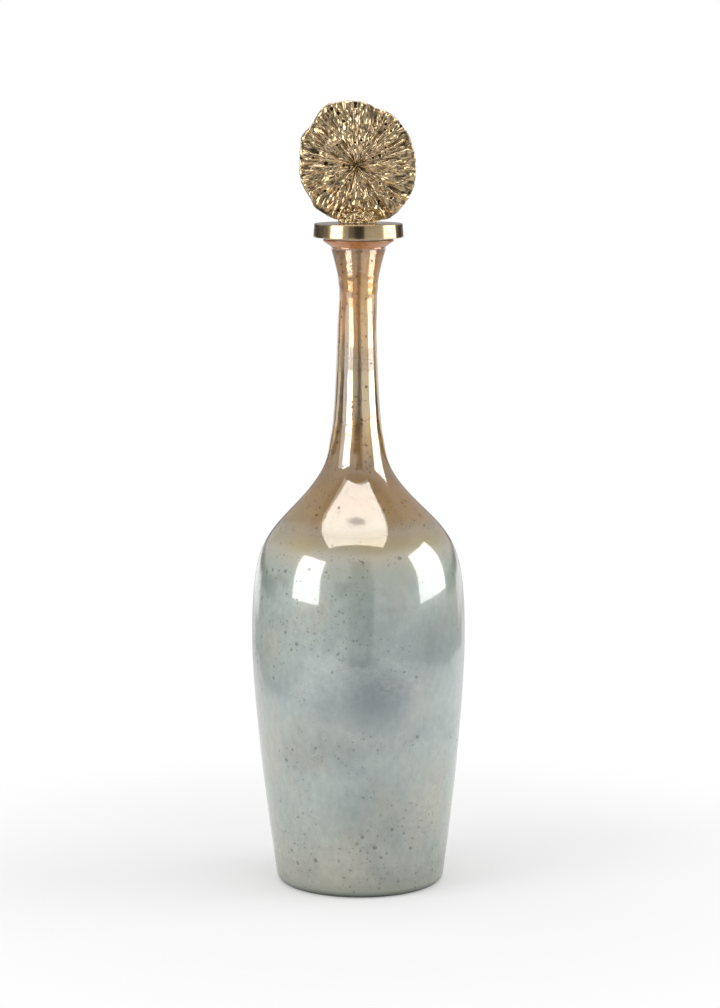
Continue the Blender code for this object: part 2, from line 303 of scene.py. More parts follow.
def from_axis(graph: Graph, place: Socket) -> Socket:
    """How far a place, in Object coordinates, lies from the bottle's axis."""
    x, y, _ = graph.split(place)
    return graph.length(graph.join(x, y, 0.0))


# Finishes


@dataclass(frozen=True)
class Blotch:
    """A soft round patch placed on the glass: a painted reflection on the body, and a worn place in the
    lining's film.

    Attributes:
        azimuth: Degrees round the axis from the front, positive to the right.
        height: Metres above the shelf.
        radius: Where it has faded out, in metres.
        strength: How much it covers at its middle.
    """

    azimuth: float
    height: float
    radius: float
    strength: float

    def middle(self, reach: float) -> Triple:
        """Its middle, that far from the axis."""
        turn = math.radians(self.azimuth)
        return reach * math.sin(turn), -reach * math.cos(turn), self.height


@dataclass(frozen=True)
class LusterFilm:
    """The metal film on the glass: gold at the neck, amber on the shoulder, blue-grey below.

    Heights are metres above the shelf, and the stops are shares of the top's height. From the clear heights up
    to the lip heights the glass is clear. Each speck size has cells a metre, the share of cells that stay
    empty, the largest one's radius as a share of its cell, and how much it shows.
    """

    clear_from: float = 0.222
    clear_to: float = 0.244
    lip_from: float = 0.4130
    lip_to: float = 0.4160
    top: float = 0.4202
    stops: tuple[tuple[float, Colour], ...] = (
        # The first three stops are painted shade: the heel darkens where the glass turns under towards the
        # shelf.
        (0.000, tone(54, 64, 56)),
        (0.005, tone(84, 92, 84)),
        (0.010, tone(148, 151, 138)),
        (0.060, tone(166, 171, 161)),
        (0.160, tone(166, 176, 171)),
        (0.320, tone(166, 178, 176)),
        (0.400, tone(175, 187, 182)),
        (0.480, tone(176, 186, 179)),
        (0.510, tone(178, 183, 170)),
        (0.530, tone(195, 189, 170)),
        (0.555, tone(194, 172, 116)),
        (0.580, tone(204, 168, 100)),
        (0.607, tone(202, 156, 76)),
        (0.632, tone(188, 144, 66)),
        (0.660, tone(188, 152, 96)),
        (0.686, tone(222, 180, 118)),
        (0.706, tone(230, 192, 134)),
        (0.738, tone(212, 185, 144)),
        (0.780, tone(208, 184, 144)),
        (0.830, tone(216, 182, 130)),
        (0.870, tone(242, 183, 118)),
        (0.930, tone(240, 179, 104)),
        (0.975, tone(208, 160, 92)),
        (0.990, tone(190, 128, 78)),
        (1.000, tone(186, 124, 76)),
    )
    # Blue-grey of the film's own soft clouds, and of the painted reflections of the dark area in front.
    tint_and_painted_reflection: Colour = tone(92, 108, 114)
    # Placed patches of painted reflection: the dark area in front of the bottle mirrored on the lower body.
    painted_reflections: tuple[Blotch, ...] = (
        Blotch(7.0, 0.1365, 0.040, 0.90),
        Blotch(-16.0, 0.1300, 0.034, 0.45),
        Blotch(4.0, 0.0600, 0.037, 0.36),
        Blotch(40.0, 0.1650, 0.046, 0.50),
        Blotch(19.0, 0.1830, 0.036, 0.34),
    )
    painted_reflection_reach: float = 0.066
    sand: Colour = tone(182, 174, 158)
    veil: Colour = tone(200, 198, 190)
    speck: Colour = tone(84, 92, 82)
    speck_sizes: tuple[tuple[float, float, float, float], ...] = (
        (210.0, 0.70, 0.42, 1.0),
        (360.0, 0.52, 0.40, 0.85),
        (700.0, 0.60, 0.42, 0.6),
    )

    def colour(self, graph: Graph, place: Given) -> Socket:
        """The film's own colour over the glass.

        Args:
            graph: The material's graph.
            place: Object coordinates.

        Returns:
            The colour output.
        """
        height = graph.split(place)[2]
        drift = graph.math("MULTIPLY_ADD", graph.noise(place, 22.0, 3.0), 0.05, -0.025)
        drift = graph.times(drift, graph.ease(height, 0.012, 0.08))
        share = graph.plus(graph.math("DIVIDE", height, self.top), drift)
        bands = graph.ramp(share, self.stops)
        low = graph.times(graph.ease(height, 0.19, 0.23, 1.0, 0.0), graph.ease(height, 0.003, 0.012))
        moved = graph.vector("ADD", place, (3.1, 1.7, 0.4))
        dust = graph.ease(graph.noise(moved, 17.0, 4.0, 0.55, 0.2), 0.42, 0.70)
        bands = graph.blend(graph.times(dust, graph.times(low, 0.5)), bands, self.sand)
        # Blue-grey from the film's soft clouds, and painted reflections of the dark area in front at the
        # placed patches.
        bands = graph.blend(graph.times(self.cloud(graph, place), low), bands, self.tint_and_painted_reflection)
        bands = graph.blend(self.haze(graph, place, height), bands, self.veil)
        grain = graph.noise(graph.stretch(place, (1.0, 1.0, 0.7)), 230.0, 4.0, 0.65)
        grain = graph.ease(grain, 0.30, 0.70, 0.90, 1.08, "LINEAR")
        return graph.blend(low, bands, graph.vector("MULTIPLY", bands, graph.join(grain, grain, grain)))

    def cloud(self, graph: Graph, place: Given) -> Socket:
        """How much of the blue-grey shows: soft clouds of the film's own tint, and the placed patches of
        painted reflection of the dark area in front of the bottle.

        Args:
            graph: The material's graph.
            place: Object coordinates.

        Returns:
            The share, 0 to 1.
        """
        soft = graph.ease(graph.noise(place, 20.0, 3.0, 0.5, 0.3), 0.46, 0.78)
        cloud = graph.times(soft, 0.4)
        pull = graph.vector("SUBTRACT", graph.scatter(place, 26.0, 3.0), (0.5, 0.5, 0.5))
        pull = graph.stretch(pull, (0.030, 0.030, 0.022))
        for spot in self.painted_reflections:
            apart = graph.vector("SUBTRACT", place, spot.middle(self.painted_reflection_reach))
            away = graph.length(graph.vector("ADD", apart, pull))
            cloud = graph.math("MAXIMUM", cloud, graph.ease(away, 0.0, spot.radius, spot.strength, 0.0))
        return cloud

    def haze(self, graph: Graph, place: Given, height: Given) -> Socket:
        """How much of the whitish, broken bloom round the belly shows.

        Args:
            graph: The material's graph.
            place: Object coordinates.
            height: Their height.

        Returns:
            The share, 0 to 1.
        """
        belt = graph.times(graph.ease(height, 0.118, 0.142), graph.ease(height, 0.156, 0.174, 1.0, 0.0))
        moved = graph.vector("ADD", place, (0.7, 2.3, 1.9))
        broad = graph.ease(graph.noise(moved, 32.0, 3.0, 0.5, 0.4), 0.44, 0.64)
        squashed = graph.stretch(place, (1.0, 1.0, 1.4))
        broken = graph.ease(graph.noise(squashed, 260.0, 5.0, 0.75), 0.36, 0.66)
        return graph.times(graph.times(belt, 0.22), graph.times(broad, broken))

    def specks(self, graph: Graph, place: Given, fineness: float = 1.25, crowding: float = 0.0) -> Socket:
        """The pinholes in the film, ragged and in loose clusters.

        Args:
            graph: The material's graph.
            place: Object coordinates.
            fineness: How many times smaller and closer they are than their sizes say.
            crowding: How much more of the surface has them.

        Returns:
            1 in a pinhole and 0 beside it.
        """
        x, _, height = graph.split(place)
        pull = graph.stretch(graph.scatter(place, 520.0), (0.0018, 0.0018, 0.0012))
        bent = graph.vector("ADD", place, pull)
        rough = graph.math("MULTIPLY_ADD", graph.noise(place, 1500.0), 0.5, -0.25)
        near_foot = graph.ease(height, 0.03, 0.07, 0.10, 0.0)
        upper_left = graph.times(graph.ease(x, -0.02, 0.02, 0.16, 0.0), graph.ease(height, 0.13, 0.17))
        crowd = graph.plus(graph.plus(near_foot, graph.noise(place, 40.0, 3.0, 0.6)), upper_left)
        cluster = graph.ease(crowd, 0.42 - crowding, 0.64 - crowding)
        total: Given = 0.0
        for scale, rare, reach, weight in self.speck_sizes:
            cell = graph.cells(bent, scale * fineness)
            chance = graph.split(cell.outputs["Color"])[0]
            size = graph.times(graph.ease(chance, rare, 1.0, 0.0, reach, "LINEAR"), cluster)
            away = graph.plus(cell.outputs[0], rough)
            dots = graph.times(graph.ease(graph.minus(size, away), -0.03, 0.09), weight)
            total = graph.math("MAXIMUM", total, dots)
        return total


@dataclass(frozen=True)
class LusterGlass:
    """The glass itself: clear over the lined neck, and over the body an opaque film under a glossy skin."""

    film: LusterFilm = field(default_factory=LusterFilm)
    clear_tint: Colour = (0.99, 0.975, 0.95)
    ior: float = 1.5
    skin_ior: float = 2.0
    skin_roughness: float = 0.035
    clear_skin: float = 0.1

    def material(self) -> bpy.types.Material:
        """Builds the material of the outer faces."""
        material, graph, shader, place = shader_sheet("luster_glass")
        film = self.film
        height = graph.split(place)[2]
        clear = graph.ease(height, film.clear_from, film.clear_to)
        clear = graph.times(clear, graph.ease(height, film.lip_from, film.lip_to, 1.0, 0.0))
        solid = graph.minus(1.0, clear)
        specks = graph.times(film.specks(graph, place), solid)
        colour = graph.blend(graph.times(specks, 0.6), film.colour(graph, place), film.speck)
        colour = graph.blend(graph.math("POWER", clear, 2.0), colour, self.clear_tint)
        graph.feed(shader.inputs["Base Color"], colour)
        graph.feed(shader.inputs["Transmission Weight"], clear)
        body_metal = graph.ease(height, 0.205, 0.230, 0.10, 0.30)
        graph.feed(shader.inputs["Metallic"], graph.times(body_metal, solid))
        frost = graph.ease(height, 0.17, 0.235, 0.245, 0.14)
        frost = graph.math("MULTIPLY_ADD", graph.noise(place, 90.0, 3.0), 0.06, graph.minus(frost, 0.03))
        graph.feed(shader.inputs["Roughness"], graph.times(frost, graph.math("POWER", solid, 2.0)))
        skin = graph.math("MULTIPLY_ADD", specks, -0.85, 1.0)
        skin = graph.times(skin, graph.ease(height, 0.02, 0.17, 0.55, 1.0))
        skin = graph.times(skin, graph.ease(clear, 0.0, 1.0, 1.0, self.clear_skin))
        skin = graph.times(skin, graph.ease(height, film.lip_from, film.lip_to, 1.0, 0.35))
        graph.feed(shader.inputs["Coat Weight"], skin)
        shader.inputs["Coat Roughness"].default_value = self.skin_roughness
        shader.inputs["Coat IOR"].default_value = self.skin_ior
        shader.inputs["IOR"].default_value = self.ior
        swell = graph.noise(graph.stretch(place, (1.0, 1.0, 0.6)), 60.0, 2.0, 0.4)
        pits = graph.bump(graph.minus(1.0, specks), 0.00004, 0.5)
        ragged = graph.ease(height, 0.150, 0.176, 0.32, 0.0)
        ragged = graph.times(graph.noise(place, 300.0, 4.0, 0.6), ragged)
        normal = graph.bump(graph.plus(swell, ragged), 0.0004, 0.35, pits)
        graph.feed(shader.inputs["Normal"], normal)
        graph.feed(shader.inputs["Coat Normal"], normal)
        return material


@dataclass(frozen=True)
class LusterLining:
    """The same film on the inside of the wall, seen through the clear glass of the neck.

    Each lean is two heights, between which the relief rises by the third number.
    """

    film: LusterFilm = field(default_factory=LusterFilm)
    speck: Colour = tone(104, 82, 54)
    skin_ior: float = 3.0
    smudge: Blotch = Blotch(-1.0, 0.2425, 0.0085, 0.85)
    smudge_reach: float = 0.0436
    leans: tuple[tuple[float, float, float], ...] = (
        (0.376, 0.400, -2.0),
        (0.400, 0.413, 1.0),
        (0.335, 0.352, 2.4),
    )

    def material(self) -> bpy.types.Material:
        """Builds the material of the inner faces."""
        material, graph, shader, place = shader_sheet("luster_lining")
        film = self.film
        x, _, height = graph.split(place)
        specks = graph.math("MAXIMUM", film.specks(graph, place, 1.7, 0.16), self.smear(graph, place))
        colour = graph.blend(graph.times(specks, 0.8), film.colour(graph, place), self.speck)
        # Painted light: above the shoulder the lining's right side is painted up to 28% lighter, as if lit
        # more from the right.
        bright = graph.times(graph.ease(x, 0.0004, 0.0016, 1.0, 1.28), graph.ease(height, 0.25, 0.29))
        bright = graph.math("MAXIMUM", bright, 1.0)
        colour = graph.vector("MULTIPLY", colour, graph.join(bright, bright, bright))
        graph.feed(shader.inputs["Base Color"], graph.vector("MINIMUM", colour, (0.94, 0.94, 0.94)))
        low_metal = graph.ease(height, 0.272, 0.310, 0.08, 0.74)
        metal = graph.math("MINIMUM", low_metal, graph.ease(height, 0.335, 0.372, 0.74, 0.28))
        graph.feed(shader.inputs["Metallic"], metal)
        shine = graph.math("MULTIPLY_ADD", graph.noise(place, 120.0, 2.0), 0.12, 0.02)
        graph.feed(shader.inputs["Roughness"], shine)
        skin = graph.math("MULTIPLY_ADD", specks, -0.85, 1.0)
        skin = graph.times(skin, graph.ease(height, 0.272, 0.310, 0.85, 0.50))
        graph.feed(shader.inputs["Coat Weight"], skin)
        shader.inputs["Coat IOR"].default_value = self.skin_ior
        near_mouth = graph.ease(height, 0.390, 0.402)
        rings = graph.noise(graph.stretch(place, (0.45, 0.45, 1.0)), 240.0, 2.0, 0.5, 0.8)
        slow = graph.noise(graph.stretch(place, (1.0, 1.0, 0.35)), 85.0, 2.0, 0.4)
        height_map = graph.math("MULTIPLY_ADD", rings, graph.math("MULTIPLY_ADD", near_mouth, 0.9, 0.05), slow)
        uneven = graph.math("MULTIPLY_ADD", graph.noise(place, 90.0, 2.0), 0.008, graph.minus(height, 0.004))
        for low, high, rise in self.leans:
            height_map = graph.plus(height_map, graph.ease(uneven, low, high, 0.0, rise, "LINEAR"))
        graph.feed(shader.inputs["Normal"], graph.bump(height_map, 0.0010, 0.45))
        return material

    def smear(self, graph: Graph, place: Given) -> Socket:
        """The thin, wide worn place on the front of the shoulder.

        Args:
            graph: The material's graph.
            place: Object coordinates.

        Returns:
            How worn the film is there, 0 to 1.
        """
        apart = graph.vector("SUBTRACT", place, self.smudge.middle(self.smudge_reach))
        away = graph.length(graph.stretch(apart, (1.0, 0.3, 2.2)))
        ragged = graph.math("MULTIPLY_ADD", graph.noise(place, 420.0, 4.0, 0.7), 0.009, -0.0045)
        return graph.ease(graph.plus(away, ragged), 0.002, self.smudge.radius, self.smudge.strength, 0.0)


@dataclass(frozen=True)
class BrushedBrass:
    """Turned and brushed brass: fine rings that follow the lathe."""

    colour: Colour = tone(206, 184, 146)
    dark: Colour = tone(168, 142, 102)

    def material(self) -> bpy.types.Material:
        """Builds the material."""
        material, graph, shader, place = shader_sheet("brushed_brass")
        x, y, z = graph.split(place)
        turn = graph.math("ARCTAN2", y, x)
        lay = graph.join(graph.times(turn, 0.0016), from_axis(graph, place), z)
        fine = graph.noise(lay, 5200.0, 2.0, 0.6)
        coarse = graph.noise(lay, 1500.0, 2.0, 0.5)
        lines = graph.math("MULTIPLY_ADD", coarse, 0.5, graph.times(fine, 0.5))
        stain = graph.ease(graph.noise(place, 120.0, 3.0), 0.35, 0.75)
        tint = graph.math("MULTIPLY_ADD", stain, 0.25, graph.ease(lines, 0.35, 0.65, 0.0, 0.35))
        graph.feed(shader.inputs["Base Color"], graph.blend(tint, self.colour, self.dark))
        shader.inputs["Metallic"].default_value = 1.0
        graph.feed(shader.inputs["Roughness"], graph.math("MULTIPLY_ADD", lines, 0.12, 0.12))
        shader.inputs["Anisotropic"].default_value = 0.5
        shader.inputs["Anisotropic Rotation"].default_value = 0.25
        tangent = graph.add("ShaderNodeTangent", direction_type="RADIAL", axis="Z")
        graph.feed(shader.inputs["Tangent"], tangent.outputs[0])
        graph.feed(shader.inputs["Normal"], graph.bump(lines, 0.00002, 0.35))
        return material


@dataclass(frozen=True)
class CastBrass:
    """Cast brass, bright where hands rub it, with painted shade darkening it in the pits of its relief."""

    bright: Colour = tone(206, 182, 144)
    worn: Colour = tone(184, 160, 122)
    # Colour of the painted shade in the relief's hollows.
    pit: Colour = tone(52, 40, 26)

    def material(self) -> bpy.types.Material:
        """Builds the material, which reads the relief that the casting's mesh carries."""
        material, graph, shader, place = shader_sheet("cast_brass")
        relief = graph.add("ShaderNodeAttribute", attribute_name="relief").outputs["Fac"]
        grain = graph.noise(place, 900.0, 3.0, 0.6)
        stain = graph.ease(graph.noise(place, 160.0, 3.0, 0.6), 0.4, 0.7)
        metal = graph.blend(graph.times(stain, 0.7), self.bright, self.worn)
        # Painted shade: the low places of the relief are darkened towards the pit colour.
        deep = graph.ease(graph.math("MULTIPLY_ADD", grain, 0.12, relief), -0.05, 0.30, 1.0, 0.0)
        graph.feed(shader.inputs["Base Color"], graph.blend(deep, metal, self.pit))
        graph.feed(shader.inputs["Metallic"], graph.math("MULTIPLY_ADD", deep, -0.35, 1.0))
        rough = graph.math("MULTIPLY_ADD", deep, 0.30, graph.math("MULTIPLY_ADD", grain, 0.16, 0.15))
        graph.feed(shader.inputs["Roughness"], rough)
        graph.feed(shader.inputs["Normal"], graph.bump(grain, 0.00002, 0.4))
        return material


@dataclass(frozen=True)
class CorkBark:
    """Natural cork: tan, with darker pores and a fine speckle."""

    light: Colour = tone(206, 168, 120)
    tan: Colour = tone(180, 138, 92)
    pore: Colour = tone(86, 54, 32)

    def material(self) -> bpy.types.Material:
        """Builds the material, which reads the pores that the cork's mesh carries."""
        material, graph, shader, place = shader_sheet("cork")
        relief = graph.add("ShaderNodeAttribute", attribute_name="relief").outputs["Fac"]
        grain = graph.noise(place, 700.0, 4.0, 0.65)
        bands = graph.noise(graph.stretch(place, (1.0, 0.4, 1.6)), 170.0, 3.0, 0.6)
        body = graph.blend(graph.ease(bands, 0.35, 0.68), self.light, self.tan)
        body = graph.blend(graph.ease(grain, 0.56, 0.78, 0.0, 0.6), body, self.pore)
        body = graph.blend(graph.ease(relief, 0.35, 0.75, 0.85, 0.0), body, self.pore)
        graph.feed(shader.inputs["Base Color"], body)
        graph.feed(shader.inputs["Roughness"], graph.math("MULTIPLY_ADD", grain, 0.2, 0.72))
        shader.inputs["Specular IOR Level"].default_value = 0.3
        graph.feed(shader.inputs["Normal"], graph.bump(grain, 0.0002, 0.5))
        return material


@dataclass(frozen=True)
class ClearSeal:
    """The pale soft plastic of the ring under the collar."""

    colour: Colour = tone(232, 224, 208)
    shade: Colour = tone(206, 194, 172)

    def material(self) -> bpy.types.Material:
        """Builds the material."""
        material, graph, shader, place = shader_sheet("clear_seal")
        haze = graph.noise(place, 260.0, 3.0, 0.55)
        body = graph.blend(graph.ease(haze, 0.4, 0.7), self.colour, self.shade)
        graph.feed(shader.inputs["Base Color"], body)
        graph.feed(shader.inputs["Roughness"], graph.math("MULTIPLY_ADD", haze, 0.2, 0.3))
        shader.inputs["Subsurface Weight"].default_value = 0.2
        shader.inputs["Subsurface Radius"].default_value = (0.002, 0.0016, 0.001)
        graph.feed(shader.inputs["Normal"], graph.bump(haze, 0.00005, 0.3))
        return material


@dataclass(frozen=True)
class PlatedSteel:
    """Bright plated steel with turning marks."""

    colour: Colour = tone(206, 206, 202)
    dull: Colour = tone(168, 166, 160)

    def material(self) -> bpy.types.Material:
        """Builds the material."""
        material, graph, shader, place = shader_sheet("screw_steel")
        rings = graph.noise(graph.join(from_axis(graph, place), 0.0, graph.split(place)[2]), 4200.0, 2.0, 0.6)
        cloud = graph.noise(place, 420.0, 3.0)
        body = graph.blend(graph.ease(cloud, 0.4, 0.7), self.colour, self.dull)
        graph.feed(shader.inputs["Base Color"], body)
        shader.inputs["Metallic"].default_value = 1.0
        graph.feed(shader.inputs["Roughness"], graph.math("MULTIPLY_ADD", rings, 0.2, 0.18))
        graph.feed(shader.inputs["Normal"], graph.bump(rings, 0.00002, 0.5))
        return material


# Shared mesh work


def object_of(name: str, data: bpy.types.ID) -> bpy.types.Object:
    """Puts a mesh, a lamp or a camera into the scene at the origin.

    Args:
        name: The object's name.
        data: What it shows.

    Returns:
        The object.
    """
    obj = bpy.data.objects.new(name, data)
    bpy.context.scene.collection.objects.link(obj)
    return obj


def arc(centre: Point2, radius: float, start: float, end: float, steps: int) -> list[Point2]:
    """Points of a round.

    Args:
        centre: Its middle, as radius and height.
        radius: Its own radius.
        start: Its first angle, in degrees from straight out.
        end: Its last angle.
        steps: How many steps it is cut into.

    Returns:
        The points, both ends included.
    """
    angles = np.radians(np.linspace(start, end, steps + 1))
    return [(centre[0] + radius * math.cos(a), centre[1] + radius * math.sin(a)) for a in angles]


def straight_step(value: float, start: float, end: float) -> float:
    """A straight step of a value, 0 before the start and 1 past the end, which may be the lower one."""
    return min(max((value - start) / (end - start), 0.0), 1.0)


def smooth_step(value: float, start: float, end: float) -> float:
    """A smooth step of a value, 0 before the start and 1 after the end."""
    share = straight_step(value, start, end)
    return share * share * (3.0 - 2.0 * share)


def hold_relief(mesh: bpy.types.Mesh, shares: Sequence[float]) -> None:
    """Stores on a mesh, point by point, how much of a relief it takes, 0 to 1."""
    mesh.attributes.new("hold", "FLOAT", "POINT").data.foreach_set("value", shares)


@dataclass
class TurnedForm:
    """A closed solid of revolution about Z.

    Attributes:
        name: The object's name.
        section: Radius and height, up the inside, over the top and down the outside. An end may lie
            on the axis.
        segments: Facets round the axis.
        crease: Edges sharper than this, in degrees, stay sharp.
    """

    name: str
    section: Sequence[Point2]
    segments: int = 192
    crease: float = 40.0

    def build(
        self,
        warp: Callable[[Vector], Vector] | None = None,
        lined: Callable[[int], bool] | None = None,
    ) -> bpy.types.Object:
        """Makes the object.

        Args:
            warp: Moves each point, if given.
            lined: Says which rows of faces take the second material, if given.

        Returns:
            The object, at the origin.
        """
        bm = bmesh.new()
        angles = [math.tau * i / self.segments for i in range(self.segments)]
        rows: list[list[bmesh.types.BMVert]] = []
        for radius, height in self.section:
            around = angles if radius > 0.0 else angles[:1]
            rows.append([bm.verts.new((radius * math.cos(a), radius * math.sin(a), height)) for a in around])
        pairs = list(zip(rows, rows[1:]))
        if len(rows[0]) > 1 or len(rows[-1]) > 1:
            pairs.append((rows[-1], rows[0]))
        for index, (low, high) in enumerate(pairs):
            material = 1 if lined and lined(index) else 0
            for i in range(self.segments):
                j = (i + 1) % self.segments
                corners = [low[i % len(low)], low[j % len(low)], high[j % len(high)], high[i % len(high)]]
                corners = list(dict.fromkeys(corners))
                if len(corners) > 2:
                    bm.faces.new(corners).material_index = material
        if warp:
            for vert in bm.verts:
                vert.co = warp(vert.co)
        bmesh.ops.recalc_face_normals(bm, faces=bm.faces)
        mesh = bpy.data.meshes.new(self.name)
        bm.to_mesh(mesh)
        bm.free()
        mesh.shade_smooth()
        mesh.set_sharp_from_angle(angle=math.radians(self.crease))
        return object_of(self.name, mesh)


def settle(obj: bpy.types.Object) -> None:
    """Turns an object's modifiers into its plain mesh."""
    graph = bpy.context.evaluated_depsgraph_get()
    made = bpy.data.meshes.new_from_object(obj.evaluated_get(graph))
    obj.modifiers.clear()
    old, obj.data = obj.data, made
    made.name = obj.name
    bpy.data.meshes.remove(old)


class ReliefKind(enum.Enum):
    """The reliefs that the geometry nodes can raise."""

    CORAL = "coral"
    NUGGETS = "nuggets"
    PORES = "pores"


@dataclass
class Relief:
    """A relief raised along the normals by geometry nodes. Its height stays on the mesh as an attribute.

    Attributes:
        kind: Which rule it follows.
        depth: From its lowest to its highest point, in metres.
        middle: Where its pattern is centred.
        radius: The reach of a radial pattern, in metres.
        grain: Cells a metre of a pattern that isn't radial.
        seed: Moves the noise.
        datum: The height that stays where the plain surface is.
        ridge_rings: Ridges round each ring of coral, beads along each, and where the ring starts and ends.
    """

    kind: ReliefKind
    depth: float
    middle: Triple = (0.0, 0.0, 0.0)
    radius: float = 1.0
    grain: float = 400.0
    seed: float = 0.0
    datum: float = 0.6
    ridge_rings: tuple[tuple[float, float, float, float], ...] = (
        (22.0, 3.0, 0.00, 0.32),
        (38.0, 3.6, 0.22, 0.62),
        (62.0, 4.2, 0.50, 1.40),
    )

    def coral_height(self, graph: Graph, inputs: bpy.types.Node) -> Socket:
        """Ridges that run out from the eye, fork on their way and break into beads.

        Args:
            graph: The tree's graph.
            inputs: The group's input node.

        Returns:
            The relief, about 0 to 1.
        """
        position = graph.add("GeometryNodeInputPosition").outputs[0]
        place = graph.vector("SUBTRACT", position, inputs.outputs["Middle"])
        x, y, z = graph.split(place)
        flat = graph.join(x, 0.0, z)
        reach = graph.math("DIVIDE", graph.length(flat), inputs.outputs["Radius"])
        way = graph.vector("NORMALIZE", flat)
        seed = graph.plus(inputs.outputs["Seed"], graph.times(graph.math("SIGN", y), 7.0))
        swirl = graph.scatter(graph.vector("ADD", place, graph.join(seed, 0.0, seed)), 130.0)
        sway = graph.stretch(graph.vector("SUBTRACT", swirl, (0.5, 0.5, 0.5)), (0.9, 0.9, 0.9))
        total: Given = 0.0
        for count, beads, start, end in self.ridge_rings:
            spread = count / math.tau
            x, _, z = graph.split(graph.vector("ADD", graph.stretch(way, (spread, spread, spread)), sway))
            spot = graph.join(x, graph.math("MULTIPLY_ADD", reach, beads, seed), z)
            dome = graph.ease(graph.cells(spot, 1.0, "DISTANCE_TO_EDGE").outputs[0], 0.0, 0.38)
            along = graph.join(0.0, graph.math("MULTIPLY_ADD", reach, beads * 0.25, seed), 0.0)
            streak = graph.vector("ADD", graph.stretch(graph.join(x, 0.0, z), (0.5, 0.5, 0.5)), along)
            vein = graph.math("MULTIPLY_ADD", graph.noise(streak, 1.25, 1.0), 2.0, -1.0)
            vein = graph.ease(graph.math("ABSOLUTE", vein), 0.0, 0.34)
            height = graph.math("MULTIPLY_ADD", vein, 0.6, graph.times(dome, 0.4))
            starts = graph.ease(reach, start - 0.10, start + 0.10)
            ends = graph.ease(reach, end - 0.10, end + 0.10, 1.0, 0.0)
            total = graph.math("MAXIMUM", total, graph.times(height, graph.times(starts, ends)))
        shifted = graph.vector("ADD", place, graph.join(0.0, seed, 0.0))
        lumps = graph.minus(graph.noise(shifted, 230.0, 1.0), 0.5)
        pits = graph.cells(shifted, 260.0)
        chance = graph.split(pits.outputs["Color"])[0]
        pit = graph.minus(graph.ease(chance, 0.45, 1.0, 0.0, 0.30), pits.outputs[0])
        total = graph.math("MULTIPLY_ADD", lumps, 0.5, total)
        return graph.math("MULTIPLY_ADD", graph.ease(pit, -0.07, 0.07), -0.45, total)

    def cell_height(self, graph: Graph, inputs: bpy.types.Node) -> Socket:
        """Rounded lumps that crowd each other, or pores.

        Args:
            graph: The tree's graph.
            inputs: The group's input node.

        Returns:
            The relief, about 0 to 1.
        """
        seed, grain = inputs.outputs["Seed"], inputs.outputs["Grain"]
        position = graph.add("GeometryNodeInputPosition").outputs[0]
        place = graph.vector("ADD", position, graph.join(seed, seed, seed))
        if self.kind is ReliefKind.PORES:
            pores = graph.noise(graph.stretch(place, (1.0, 0.45, 0.8)), grain, 3.0, 0.6, 0.4)
            return graph.ease(pores, 0.36, 0.46)
        pull = graph.stretch(graph.scatter(place, 300.0), (0.002, 0.002, 0.002))
        edge = graph.cells(graph.vector("ADD", place, pull), grain, "DISTANCE_TO_EDGE").outputs[0]
        return graph.math("MULTIPLY_ADD", graph.noise(place, 700.0), 0.3, graph.ease(edge, 0.0, 0.4, 0.0, 0.8))

    def raise_on(self, obj: bpy.types.Object, material: bpy.types.Material) -> None:
        """Builds the tree, runs it on the object and keeps the result as its plain mesh.

        Args:
            obj: The object. Its attribute hold says, point by point, how much of the relief it takes.
            material: What the tree paints it with.
        """
        tree = bpy.data.node_groups.new(f"{self.kind.value}_relief", "GeometryNodeTree")
        face = tree.interface
        face.new_socket(name="Geometry", in_out="INPUT", socket_type="NodeSocketGeometry")
        face.new_socket(name="Geometry", in_out="OUTPUT", socket_type="NodeSocketGeometry")
        given = {"Depth": self.depth, "Radius": self.radius, "Grain": self.grain, "Seed": self.seed}
        sockets = {n: face.new_socket(name=n, in_out="INPUT", socket_type="NodeSocketFloat") for n in given}
        given["Middle"] = self.middle
        sockets["Middle"] = face.new_socket(name="Middle", in_out="INPUT", socket_type="NodeSocketVector")
        graph = Graph(tree)
        inputs = graph.add("NodeGroupInput")
        radial = self.kind is ReliefKind.CORAL
        relief = self.coral_height(graph, inputs) if radial else self.cell_height(graph, inputs)
        hold = graph.add("GeometryNodeInputNamedAttribute", {"Name": "hold"}, data_type="FLOAT").outputs[0]
        held = graph.times(hold, inputs.outputs["Depth"])
        lift = graph.times(graph.minus(relief, self.datum), held)
        normal = graph.add("GeometryNodeInputNormal").outputs[0]
        push = graph.add("ShaderNodeVectorMath", {0: normal, "Scale": lift}, operation="SCALE").outputs[0]
        named = {"Geometry": inputs.outputs[0], "Name": "relief"}
        kept = graph.add("GeometryNodeStoreNamedAttribute", named, data_type="FLOAT", domain="POINT")
        graph.feed(kept.inputs["Value"], relief)
        moved = graph.add("GeometryNodeSetPosition", {"Geometry": kept.outputs[0], "Offset": push})
        real = graph.add("GeometryNodeRealizeInstances", {"Geometry": moved.outputs[0]})
        painted = graph.add("GeometryNodeSetMaterial", {"Geometry": real.outputs[0], "Material": material})
        graph.add("NodeGroupOutput", {0: painted.outputs[0]})
        modifier = obj.modifiers.new("relief", "NODES")
        modifier.node_group = tree
        for name, value in given.items():
            modifier[sockets[name].identifier] = value
        settle(obj)


# The bottle


